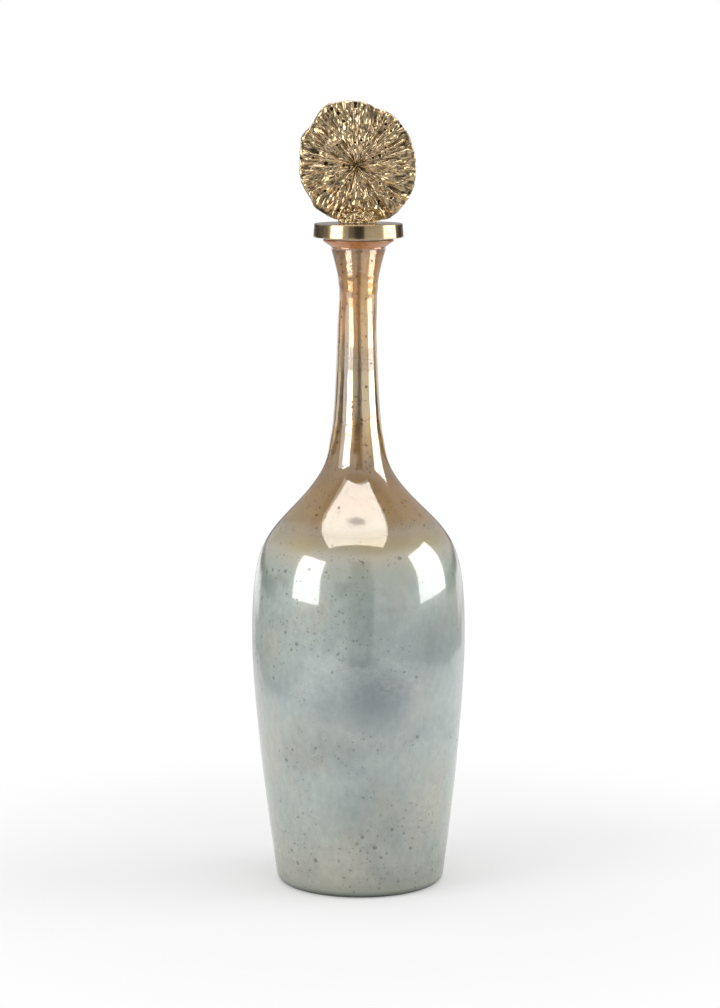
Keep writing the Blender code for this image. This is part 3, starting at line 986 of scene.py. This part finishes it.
@dataclass
class GlassBottle:
    """The blown glass in one piece. Lengths are metres, and leans are degrees in from straight up."""

    foot_radius: float = 0.0547
    heel_round: float = 0.0055
    stations: tuple[tuple[float, float, float], ...] = (
        (0.06945, 0.161, 0.0),
        (0.0416, 0.2477, 44.8),
        (0.0169, 0.293, 12.0),
        (0.0122, 0.382, 0.0),
        (0.0175, 0.4155, 5.7),
    )
    reaches: tuple[Point2, ...] = ((0.43, 0.18), (0.68, 0.34), (0.76, 0.29), (0.18, 0.10), (0.58, 0.11))
    steps: tuple[int, ...] = (56, 44, 26, 44, 26)
    wall_lean: float = -8.3
    wall: float = 0.003
    floor: float = 0.008
    floor_round: float = 0.012
    ring_width: float = 0.009
    punt_depth: float = 0.004
    lip_radius: float = 0.0228
    lip_height: float = 0.4202
    lip_round: float = 0.0007
    bore_flare: float = 0.0008
    bore_taper: float = 4.5
    bore_rows: int = 24
    lining_top: float = 0.4200
    neck_drift: float = 0.0010
    base_drift: float = 0.0011
    unevenness: float = 0.00022
    ripple: float = 0.00020
    still_axis: float = 0.004
    cork_seat: Point2 = (0.0121, 0.38)
    segments: int = 192
    outer_line: tuple[Sequence[float], Sequence[float]] = ((0.0,), (0.0,))

    def outside(self) -> list[Point2]:
        """The outer outline.

        Returns:
            Radius and height, from the top of the heel to the mouth.
        """
        lean = math.radians(self.wall_lean)
        stops = [(self.foot_radius, self.heel_round * (1.0 + math.sin(lean)), self.wall_lean), *self.stations]
        outline: list[Point2] = []
        for low, high, reach, steps in zip(stops, stops[1:], self.reaches, self.steps):
            rise = high[1] - low[1]
            ends = [Vector((r, 0.0, z)) for r, z, _ in (low, high)]
            leans = [math.radians(a) for _, _, a in (low, high)]
            ways = [Vector((-math.sin(a), 0.0, math.cos(a))) for a in leans]
            handles = ends[0] + ways[0] * rise * reach[0], ends[1] - ways[1] * rise * reach[1]
            points = interpolate_bezier(ends[0], *handles, ends[1], steps + 1)
            outline += [(p.x, p.z) for p in points[:-1]]
        return outline + [stops[-1][:2]]

    def inside(self, outline: list[Point2]) -> list[Point2]:
        """The inner outline, square to the outer one.

        Args:
            outline: The outer outline, upwards.

        Returns:
            The inner outline, upwards, without its ends.
        """
        wall = []
        for below, here, above in zip(outline, outline[1:], outline[2:]):
            run = Vector((above[0] - below[0], above[1] - below[1])).normalized()
            wall.append((here[0] - run.y * self.wall, here[1] + run.x * self.wall))
        return wall

    def section(self) -> tuple[list[Point2], int]:
        """The whole section of the glass.

        Returns:
            The section from the floor inside over the lip to the punt, and how many rows of it are lined.
        """
        outer = self.outside()
        corner = self.floor + self.floor_round
        at_corner = np.interp(corner, [z for _, z in outer], [r for r, _ in outer])
        floor = arc((at_corner - self.wall - self.floor_round, corner), self.floor_round, -90.0, 0.0, 8)
        waist_radius, waist_height, _ = self.stations[-2]
        bore = [p for p in self.inside(outer) if corner + self.floor_round < p[1] < waist_height][::2]
        slope = math.tan(math.radians(self.bore_taper))
        rises = np.linspace(waist_height, self.stations[-1][1], self.bore_rows)
        bore += [(waist_radius - self.wall + slope * (z - waist_height), z) for z in rises]
        lip_low = bore[-1][0] + slope * (self.lip_height - bore[-1][1]) + self.bore_flare
        lip_centre = (self.lip_radius - self.lip_round, self.lip_height - self.lip_round)
        lip = [
            (lip_low - 0.0004, self.lip_height - 0.0006),
            (lip_low, self.lip_height - 0.0002),
            (lip_low + 0.0003, self.lip_height),
            *arc(lip_centre, self.lip_round, 90.0, -38.0, 7),
        ]
        heel_reach = self.heel_round * math.cos(math.radians(self.wall_lean))
        heel_centre = (self.foot_radius - heel_reach, self.heel_round)
        heel = arc(heel_centre, self.heel_round, self.wall_lean, -90.0, 12)
        ring_inner = heel_centre[0] - self.ring_width
        punt_radius = (ring_inner**2 + self.punt_depth**2) / (2 * self.punt_depth)
        punt_angle = math.degrees(math.asin(ring_inner / punt_radius))
        punt = arc((0.0, self.punt_depth - punt_radius), punt_radius, 90.0 - punt_angle, 90.0, 10)
        punt[-1] = (0.0, self.punt_depth)
        inner = [(0.0, self.floor)] + floor + bore
        lined = sum(1 for _, z in inner + lip[:2] if z < self.lining_top)
        return inner + lip + outer[::-1][:-1] + heel + punt, lined

    def warp(self, point: Vector) -> Vector:
        """Moves a point as the blower's hand does: a slight drift, slow swells, and rings at the mouth.

        Args:
            point: The true point.

        Returns:
            The point as blown.
        """
        radius = math.hypot(point.x, point.y)
        height = point.z
        if radius < self.still_axis:
            return point
        rise, fall = smooth_step(height, 0.225, 0.270), smooth_step(height, 0.358, 0.388)
        drift = self.neck_drift * rise * (1.0 - fall)
        if height > self.floor - 0.0005 and radius < np.interp(height, *self.outer_line) - self.wall / 2:
            drift = 0.0
        drift -= self.base_drift * (1.0 - smooth_step(height, 0.0, 0.16))
        ends = straight_step(height, 0.0, 0.02) * straight_step(height, 0.416, 0.406)
        swell = noise.noise(Vector((point.x * 26, point.y * 26, height * 15)))
        small = noise.noise(Vector((point.x * 70 + 5, point.y * 70, height * 34)))
        slack = 1.0 - 0.65 * smooth_step(height, 0.25, 0.29)
        change = ends * slack * self.unevenness * (swell * 0.9 + small * 0.25 - 0.9)
        rings = straight_step(height, 0.372, 0.384) * straight_step(height, 0.414, 0.408)
        change += rings * self.ripple * noise.noise(Vector((point.x * 30, point.y * 30, height * 260)))
        seat_radius, seat_height = self.cork_seat
        if height > seat_height and radius < seat_radius:
            change = abs(change) * 0.5
        share = 1.0 + change / radius
        return Vector((point.x * share - drift, point.y * share, height))

    def build(self) -> bpy.types.Object:
        """Makes, dresses and registers the glass."""
        section, lined = self.section()
        radii, heights = zip(*self.outside())
        self.outer_line = heights, radii
        turned = TurnedForm("display_bottle_glass", section, self.segments)
        glass = turned.build(self.warp, lambda row: row < lined)
        glass.data.materials.append(LusterGlass().material())
        glass.data.materials.append(LusterLining().material())
        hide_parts("glass_bottle")
        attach(glass, "bottle")
        return glass


# The stopper


@dataclass
class LipGasket:
    """The thin pale ring between the collar and the lip."""

    base: float = 0.4205
    thickness: float = 0.0007
    inner: float = 0.01239
    outer: float = 0.0228
    edge: float = 0.0003

    def build(self) -> bpy.types.Object:
        """Makes, dresses and registers the ring."""
        low, high, e = self.base, self.base + self.thickness, self.edge
        section = [
            *arc((self.inner + e, low + e), e, -90.0, -180.0, 4),
            *arc((self.inner + e, high - e), e, 180.0, 90.0, 4),
            *arc((self.outer - e, high - e), e, 90.0, 0.0, 4),
            *arc((self.outer - e, low + e), e, 0.0, -90.0, 4),
        ]
        ring = TurnedForm("lip_ring", section, 160, 60.0).build()
        ring.data.materials.append(ClearSeal().material())
        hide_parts("lip_gasket")
        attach(ring, "seal")
        return ring


@dataclass
class StopperCollar:
    """The turned brass disc that caps the neck."""

    base: float = 0.4215
    height: float = 0.0088
    radius: float = 0.02895
    draft: float = 0.00065
    hole: float = 0.0023
    edge: float = 0.0004
    face_shares: tuple[float, ...] = (0.25, 0.45, 0.65, 0.8, 0.92)
    side_steps: int = 8

    def build(self) -> bpy.types.Object:
        """Makes, dresses and registers the collar."""
        low, high, e = self.base, self.base + self.height, self.edge
        top = self.radius - self.draft
        lean = math.degrees(math.atan2(self.draft, self.height))
        rings = [self.radius * share for share in self.face_shares]
        downs = [k / self.side_steps for k in range(1, self.side_steps)]
        side = [(top + self.draft * down, high - e + (2 * e - self.height) * down) for down in downs]
        section = [
            (self.hole + e, low),
            (self.hole, low + e),
            (self.hole, high - e),
            (self.hole + e, high),
            *[(r, high) for r in rings],
            *arc((top - e, high - e), e, 90.0, lean, 5),
            *side,
            *arc((self.radius - e, low + e), e, lean, -90.0, 5),
            *[(r, low) for r in reversed(rings)],
        ]
        collar = TurnedForm("stopper_cap", section, 256, 50.0).build()
        collar.data.materials.append(BrushedBrass().material())
        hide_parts("stopper_collar")
        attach(collar, "stopper")
        return collar


@dataclass
class StopperCork:
    """The tapered cork with its screw's washer."""

    tip: float = 0.3882
    length: float = 0.033
    tip_radius: float = 0.00938
    top_radius: float = 0.01198
    hole: float = 0.0023
    edge: float = 0.0008
    side_rows: int = 84
    face_rows: int = 14
    hole_rows: int = 6
    pore_depth: float = 0.00045
    washer_base: float = 0.3869
    washer_thickness: float = 0.001
    washer_radius: float = 0.006
    washer_round_share: float = 0.35

    def cork(self) -> bpy.types.Object:
        """Makes, dresses and registers the cork."""
        low, high, e = self.tip, self.tip + self.length, self.edge
        slope = (self.top_radius - self.tip_radius) / self.length
        rise = np.linspace(e, self.length - e, self.side_rows)
        faces = np.linspace(self.hole, self.tip_radius - e, self.face_rows)
        tops = np.linspace(self.hole, self.top_radius - e, self.face_rows)
        section = [
            *[(self.hole, low + self.length * k / self.hole_rows) for k in range(self.hole_rows + 1)],
            *[(r, high) for r in tops[1:]],
            *arc((self.top_radius - e, high - e), e, 80.0, 8.0, 4),
            *[(self.tip_radius + slope * s, low + s) for s in rise[::-1]],
            *arc((self.tip_radius - e, low + e), e, -8.0, -80.0, 4),
            *[(r, low) for r in faces[::-1][:-1]],
        ]
        cork = TurnedForm("stopper_cork_plug", section, 200, 60.0).build()
        in_hole = self.hole * 1.3
        hold_relief(cork.data, [float(math.hypot(v.co.x, v.co.y) > in_hole) for v in cork.data.vertices])
        Relief(ReliefKind.PORES, self.pore_depth, grain=330.0, seed=4.0).raise_on(cork, CorkBark().material())
        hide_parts("stopper_cork")
        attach(cork, "stopper")
        return cork

    def washer(self) -> bpy.types.Object:
        """Makes, dresses and registers the washer, rounded on its upper edge as a punched one is."""
        low, high = self.washer_base, self.washer_base + self.washer_thickness
        e = self.washer_thickness * self.washer_round_share
        section = [
            (self.hole, low),
            (self.hole, high - e),
            (self.hole + e, high),
            *arc((self.washer_radius - e, high - e), e, 90.0, 0.0, 5),
            (self.washer_radius, low + e / 3),
            (self.washer_radius - e / 3, low),
        ]
        washer = TurnedForm("cork_washer", section, 96, 40.0).build()
        washer.data.materials.append(bpy.data.materials["screw_steel"])
        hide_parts("screw_washer")
        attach(washer, "stopper")
        return washer

    def build(self) -> list[bpy.types.Object]:
        """Makes the cork and the washer, and dresses the screw that the frame holds."""
        steel = PlatedSteel().material()
        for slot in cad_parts["stopper_screw"].material_slots:
            slot.material = steel
        return [self.cork(), self.washer()]


@dataclass
class CoralMedallion:
    """The cast brass disc with its radial coral relief and its lumpy foot.

    Outline and eye are shares of the radius, and the section's are of the reach and half the thickness.
    """

    base: float = 0.4306
    radius: float = 0.0373
    thickness: float = 0.0066
    lift: float = 0.0004
    relief: float = 0.0021
    rim_hold: float = 0.25
    rim_share: float = 0.05
    seat_spokes: int = 112
    foot_width: float = 0.025
    foot_depth: float = 0.0125
    foot_height: float = 0.0085
    foot_top: Point2 = (0.88, 0.62)
    foot_cuts: int = 34
    foot_corner: float = 0.45
    foot_relief: float = 0.0026
    foot_hold_rise: float = 0.0006
    outline_shares: tuple[float, ...] = (
        0.983, 0.975, 0.966, 0.968, 0.972, 0.971, 0.983, 0.984, 0.986, 0.974, 0.976, 1.010,
        1.029, 1.050, 1.065, 1.094, 1.114, 1.085, 1.045, 1.018, 1.046, 1.062, 1.032, 1.013,
        1.005, 1.020, 1.036, 1.035, 1.037, 1.035, 1.076, 1.072, 1.063, 1.058, 1.045, 1.033,
        1.030, 1.036, 1.048, 1.075, 1.097, 1.089, 1.073, 1.060, 1.052, 1.034, 1.010, 0.996,
    )  # fmt: skip
    eye_shares: Point2 = (-0.037, -0.053)
    section_shares: tuple[Point2, ...] = (
        (0.0, 1.0), (0.08, 1.0), (0.18, 0.99), (0.29, 0.97), (0.41, 0.95), (0.53, 0.92),
        (0.65, 0.87), (0.77, 0.8), (0.88, 0.7), (0.96, 0.54), (1.0, 0.3), (1.0, 0.0),
    )  # fmt: skip
    spokes: int = 480
    rings: int = 88

    def rim(self, turn: float) -> Vector:
        """A point of the rim, from the disc's middle, at a turn from 0 to 1."""
        count = len(self.outline_shares)
        place = (turn % 1.0) * count
        index, t = int(place), place % 1.0
        a, b, c, d = (self.outline_shares[(index + step) % count] for step in (-1, 0, 1, 2))
        bend, twist = 2 * a - 5 * b + 4 * c - d, 3 * b - a - 3 * c + d
        share = 0.5 * (2 * b + (c - a) * t + bend * t**2 + twist * t**3)
        return Vector((math.cos(math.tau * turn), math.sin(math.tau * turn))) * share * self.radius

    def middle_height(self) -> float:
        """The height of the disc's middle, with its rim just clear of the collar."""
        return self.base + self.lift + max(-self.rim(k / self.seat_spokes).y for k in range(self.seat_spokes))

    def half_section(self) -> list[Point2]:
        """The disc's section from the eye to the middle of the rim, rounded and evenly spaced.

        Returns:
            Reach, as a share, and half thickness in metres.
        """
        half = self.thickness / 2
        line = np.array([(reach * self.radius, thick * half) for reach, thick in self.section_shares])
        for _ in range(3):
            cut = np.empty((2 * len(line) - 2, 2))
            cut[0::2] = line[:-1] * 0.75 + line[1:] * 0.25
            cut[1::2] = line[:-1] * 0.25 + line[1:] * 0.75
            line = np.vstack([line[:1], cut[1:-1], line[-1:]])
        length = np.concatenate([[0.0], np.cumsum(np.hypot(*np.diff(line, axis=0).T))])
        even = np.linspace(0.0, length[-1], self.rings + 1)
        reaches = np.interp(even, length, line[:, 0]) / self.radius
        return list(zip(reaches, np.interp(even, length, line[:, 1])))

    def disc(self) -> bpy.types.Object:
        """Makes the plain disc, which holds less of the relief at its rim."""
        eye = Vector(self.eye_shares) * self.radius
        middle = self.middle_height()
        front = self.half_section()
        rows = [(reach, -thick) for reach, thick in front] + front[::-1][1:]
        rims = [self.rim(spoke / self.spokes) for spoke in range(self.spokes)]
        verts: list[Triple] = []
        hold: list[float] = []
        for reach, depth in rows:
            count = 1 if reach == 0.0 else self.spokes
            for rim in rims[:count]:
                place = eye.lerp(rim, reach)
                verts.append((place.x, depth, place.y + middle))
                hold.append(self.rim_hold + (1.0 - self.rim_hold) * min((1.0 - reach) / self.rim_share, 1.0))
        faces = []
        starts = [0, *range(1, len(verts) - 1, self.spokes), len(verts) - 1]
        for row, start in enumerate(starts[:-1]):
            after = starts[row + 1]
            for i in range(self.spokes):
                j = (i + 1) % self.spokes
                if row == 0:
                    faces.append((start, after + i, after + j))
                elif row == len(starts) - 2:
                    faces.append((start + i, after, start + j))
                else:
                    faces.append((start + i, after + i, after + j, start + j))
        mesh = bpy.data.meshes.new("coral_disc")
        mesh.from_pydata(verts, [], faces)
        bm = bmesh.new()
        bm.from_mesh(mesh)
        bmesh.ops.recalc_face_normals(bm, faces=bm.faces)
        bm.to_mesh(mesh)
        bm.free()
        hold_relief(mesh, hold)
        mesh.shade_smooth()
        return object_of("coral_disc", mesh)

    def foot(self) -> bpy.types.Object:
        """Makes the plain block that stands on the collar and holds none of the relief at its base."""
        bm = bmesh.new()
        bmesh.ops.create_cube(bm, size=1.0)
        bmesh.ops.subdivide_edges(bm, edges=bm.edges, cuts=self.foot_cuts, use_grid_fill=True)
        width_share, depth_share = self.foot_top
        for vert in bm.verts:
            up = vert.co.z + 0.5
            flat = Vector((vert.co.x, vert.co.y)) * 2
            square = max(abs(flat.x), abs(flat.y))
            if square > 0.0:
                flat *= self.foot_corner + (1.0 - self.foot_corner) * square / max(flat.length, square)
            vert.co.x = flat.x / 2 * self.foot_width * (1.0 - up * (1.0 - width_share))
            vert.co.y = flat.y / 2 * self.foot_depth * (1.0 - up * (1.0 - depth_share))
            vert.co.z = self.base + up * self.foot_height
        bmesh.ops.recalc_face_normals(bm, faces=bm.faces)
        mesh = bpy.data.meshes.new("coral_foot")
        bm.to_mesh(mesh)
        bm.free()
        hold_relief(mesh, [min((v.co.z - self.base) / self.foot_hold_rise, 1.0) for v in mesh.vertices])
        mesh.shade_smooth()
        return object_of("coral_foot", mesh)

    def build(self) -> bpy.types.Object:
        """Makes, dresses and registers the casting as one piece."""
        brass = CastBrass().material()
        disc = self.disc()
        eye = Vector(self.eye_shares) * self.radius
        middle = (eye.x, 0.0, self.middle_height() + eye.y)
        Relief(ReliefKind.CORAL, self.relief, middle, self.radius, seed=3.0).raise_on(disc, brass)
        foot = self.foot()
        Relief(ReliefKind.NUGGETS, self.foot_relief, grain=270.0, seed=1.0).raise_on(foot, brass)
        bm = bmesh.new()
        bm.from_mesh(disc.data)
        bm.from_mesh(foot.data)
        bm.to_mesh(disc.data)
        bm.free()
        bpy.data.objects.remove(foot, do_unlink=True)
        disc.name = disc.data.name = "coral_casting"
        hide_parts("coral_medallion")
        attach(disc, "stopper")
        return disc


# The studio


@dataclass(frozen=True)
class Softbox:
    """A rectangular lamp that faces a point, in metres."""

    name: str
    place: Vector
    target: Vector
    width: float
    tall: float
    radiance: float
    roll: float = 0.0

    def build(self) -> bpy.types.Object:
        """Makes the lamp."""
        lamp = bpy.data.lights.new(self.name, "AREA")
        lamp.shape = "RECTANGLE"
        lamp.size, lamp.size_y = self.width, self.tall
        lamp.energy = self.radiance * self.width * self.tall * math.pi
        obj = object_of(self.name, lamp)
        obj.location = self.place
        facing = (self.target - self.place).to_track_quat("-Z", "Y")
        obj.rotation_euler = (facing @ Quaternion((0.0, 0.0, 1.0), math.radians(self.roll))).to_euler()
        obj.visible_camera = False
        return obj


@dataclass(frozen=True)
class Panel:
    """A light or dark part of the room that metal and glass mirror, as azimuths and elevations in degrees."""

    azimuth: Point2
    elevation: Point2
    level: float
    edge: float = 3.0


@dataclass
class Studio:
    """A plain pale floor, soft lamps, a plain room and the camera."""

    room_level: float = 0.45
    panels: tuple[Panel, ...] = (
        Panel((-40.0, 60.0), (-30.0, 32.0), 0.50),
        Panel((34.0, 75.0), (-12.0, 6.0), 0.75, 8.0),
        Panel((16.0, 40.0), (-6.0, 3.5), 0.75, 1.5),
        Panel((-10.0, 15.0), (-30.0, 38.0), 0.12),
        Panel((-26.0, 15.0), (4.0, 14.0), 0.02, 1.5),
        Panel((-148.0, -106.0), (2.0, 45.0), 0.40),
        Panel((-148.0, -106.0), (-12.0, -7.0), 0.30, 1.5),
        Panel((-152.0, -103.0), (-4.0, 3.2), 0.02, 1.5),
        Panel((-106.0, -85.0), (2.5, 7.0), 0.02, 1.5),
        Panel((112.0, 148.0), (2.0, 45.0), 0.40),
        Panel((112.0, 148.0), (-12.0, -7.0), 0.30, 1.5),
        Panel((112.0, 152.0), (-4.0, 3.2), 0.02, 1.5),
        Panel((-190.0, -151.0), (-25.0, -8.5), 0.80, 1.5),
        Panel((151.0, 190.0), (-25.0, -8.5), 0.80, 1.5),
        Panel((-190.0, -151.0), (-8.5, 2.0), 0.15, 1.5),
        Panel((151.0, 190.0), (-8.5, 2.0), 0.15, 1.5),
        Panel((-168.0, -138.0), (-8.5, -2.5), 1.15, 1.5),
        Panel((138.0, 168.0), (-8.5, -2.5), 0.88, 1.5),
        Panel((-190.0, 190.0), (46.0, 95.0), 0.28, 4.0),
    )
    lamps: tuple[Softbox, ...] = (
        Softbox("left_softbox", Vector((-1.28, -0.78, 0.68)), Vector((0.0, 0.0, 0.68)), 0.90, 0.98, 3.8),
        Softbox("right_softbox", Vector((1.50, -0.02, 0.72)), Vector((0.0, 0.0, 0.72)), 1.13, 1.12, 3.2, 1.8),
        Softbox("overhead_softbox", Vector((-0.09, -0.14, 1.6)), Vector((-0.09, -0.14, 0.0)), 1.54, 1.3, 2.3),
    )
    table: tuple[Point2, ...] = (
        (-0.45, 0.80), (-0.55, 0.55), (-0.49, 0.35), (-0.48, 0.22), (-0.50, 0.08), (-0.48, -0.09),
        (-0.48, -0.25), (-0.56, -0.37), (-0.68, -0.41), (-0.69, -0.56), (-0.57, -0.73), (-0.40, -0.81),
        (-0.22, -0.75), (-0.10, -0.68), (0.08, -0.70), (0.29, -0.70), (0.46, -0.64), (0.63, -0.44),
        (0.71, -0.12), (0.72, 0.07), (0.67, 0.29), (0.66, 0.50), (0.43, 0.84), (0.40, 1.60),
        (-0.40, 1.60),
    )  # fmt: skip
    floor_tone: Colour = (0.84, 0.84, 0.84)
    camera_place: Triple = (0.0010, -2.0, 0.53)
    camera_pitch: float = 8.003
    lens: float = 111.23
    sensor: float = 36.0

    def floor(self) -> bpy.types.Object:
        """Makes the table top. Far from the bottle the camera sees plain white, and from below nothing."""
        bm = bmesh.new()
        bm.faces.new([bm.verts.new((x, y, 0.0)) for x, y in self.table])
        mesh = bpy.data.meshes.new("studio_floor")
        bm.to_mesh(mesh)
        bm.free()
        floor = object_of("studio_floor", mesh)
        material, graph, shader, place = shader_sheet("studio_floor")
        graph.feed(shader.inputs["Base Color"], self.floor_tone)
        shader.inputs["Roughness"].default_value = 0.9
        shader.inputs["Specular IOR Level"].default_value = 0.0
        seen = graph.add("ShaderNodeLightPath").outputs["Is Camera Ray"]
        white = graph.add("ShaderNodeEmission", {0: (1.0, 1.0, 1.0), 1: 1.0}).outputs[0]
        far = graph.times(graph.ease(graph.length(place), 0.16, 0.40, 0.4, 1.0), seen)
        top = graph.add("ShaderNodeMixShader", {0: far, 1: shader.outputs[0], 2: white}).outputs[0]
        under = graph.times(graph.add("ShaderNodeNewGeometry").outputs["Backfacing"], seen)
        nothing = graph.add("ShaderNodeBsdfTransparent").outputs[0]
        both = graph.add("ShaderNodeMixShader", {0: under, 1: top, 2: nothing}).outputs[0]
        graph.feed(material.node_tree.nodes["Material Output"].inputs["Surface"], both)
        floor.data.materials.append(material)
        return floor

    def room(self) -> None:
        """Builds the world: white to the camera, and a plain room with its panels to all else."""
        world = bpy.data.worlds.new("studio_room")
        world.use_nodes = True
        graph = Graph(world.node_tree)
        x, y, z = graph.split(graph.add("ShaderNodeTexCoord").outputs["Generated"])
        azimuth = graph.math("DEGREES", graph.math("ARCTAN2", x, graph.times(y, -1.0)))
        elevation = graph.math("DEGREES", graph.math("ARCSINE", z))
        level: Given = self.room_level
        for panel in self.panels:
            mask: Given = 1.0
            for value, (low, high) in ((azimuth, panel.azimuth), (elevation, panel.elevation)):
                rise = graph.ease(value, low - panel.edge, low + panel.edge)
                fall = graph.ease(value, high - panel.edge, high + panel.edge, 1.0, 0.0)
                mask = graph.times(mask, graph.times(rise, fall))
            level = graph.plus(graph.times(graph.minus(panel.level, level), mask), level)
        seen = graph.add("ShaderNodeLightPath").outputs["Is Camera Ray"]
        level = graph.plus(graph.times(graph.minus(1.0, level), seen), level)
        background = world.node_tree.nodes["Background"]
        graph.feed(background.inputs["Color"], graph.join(level, level, level))
        background.inputs["Strength"].default_value = 1.0
        bpy.context.scene.world = world

    def camera(self) -> bpy.types.Object:
        """Makes the camera at the photograph's angle."""
        data = bpy.data.cameras.new("photo_camera")
        data.lens = self.lens
        data.sensor_width = self.sensor
        data.clip_start, data.clip_end = 0.05, 20.0
        camera = object_of("photo_camera", data)
        camera.location = self.camera_place
        camera.rotation_euler = (math.radians(90.0 - self.camera_pitch), 0.0, 0.0)
        bpy.context.scene.camera = camera
        return camera

    def build(self) -> None:
        """Sets up the whole studio."""
        self.camera()
        self.floor()
        self.room()
        for lamp in self.lamps:
            lamp.build()
        bpy.context.scene.view_settings.view_transform = "Standard"


def main() -> None:
    """Builds the studio and each sub-assembly in order."""
    logging.basicConfig(level=logging.INFO, format="%(name)s: %(message)s")
    Studio().build()
    LOG.info("studio ready")
    for assembly in (GlassBottle(), LipGasket(), StopperCollar(), StopperCork(), CoralMedallion()):
        made = assembly.build()
        for piece in made if isinstance(made, list) else [made]:
            LOG.info("%s: %d faces", piece.name, len(piece.data.polygons))


if __name__ == "__main__":
    main()
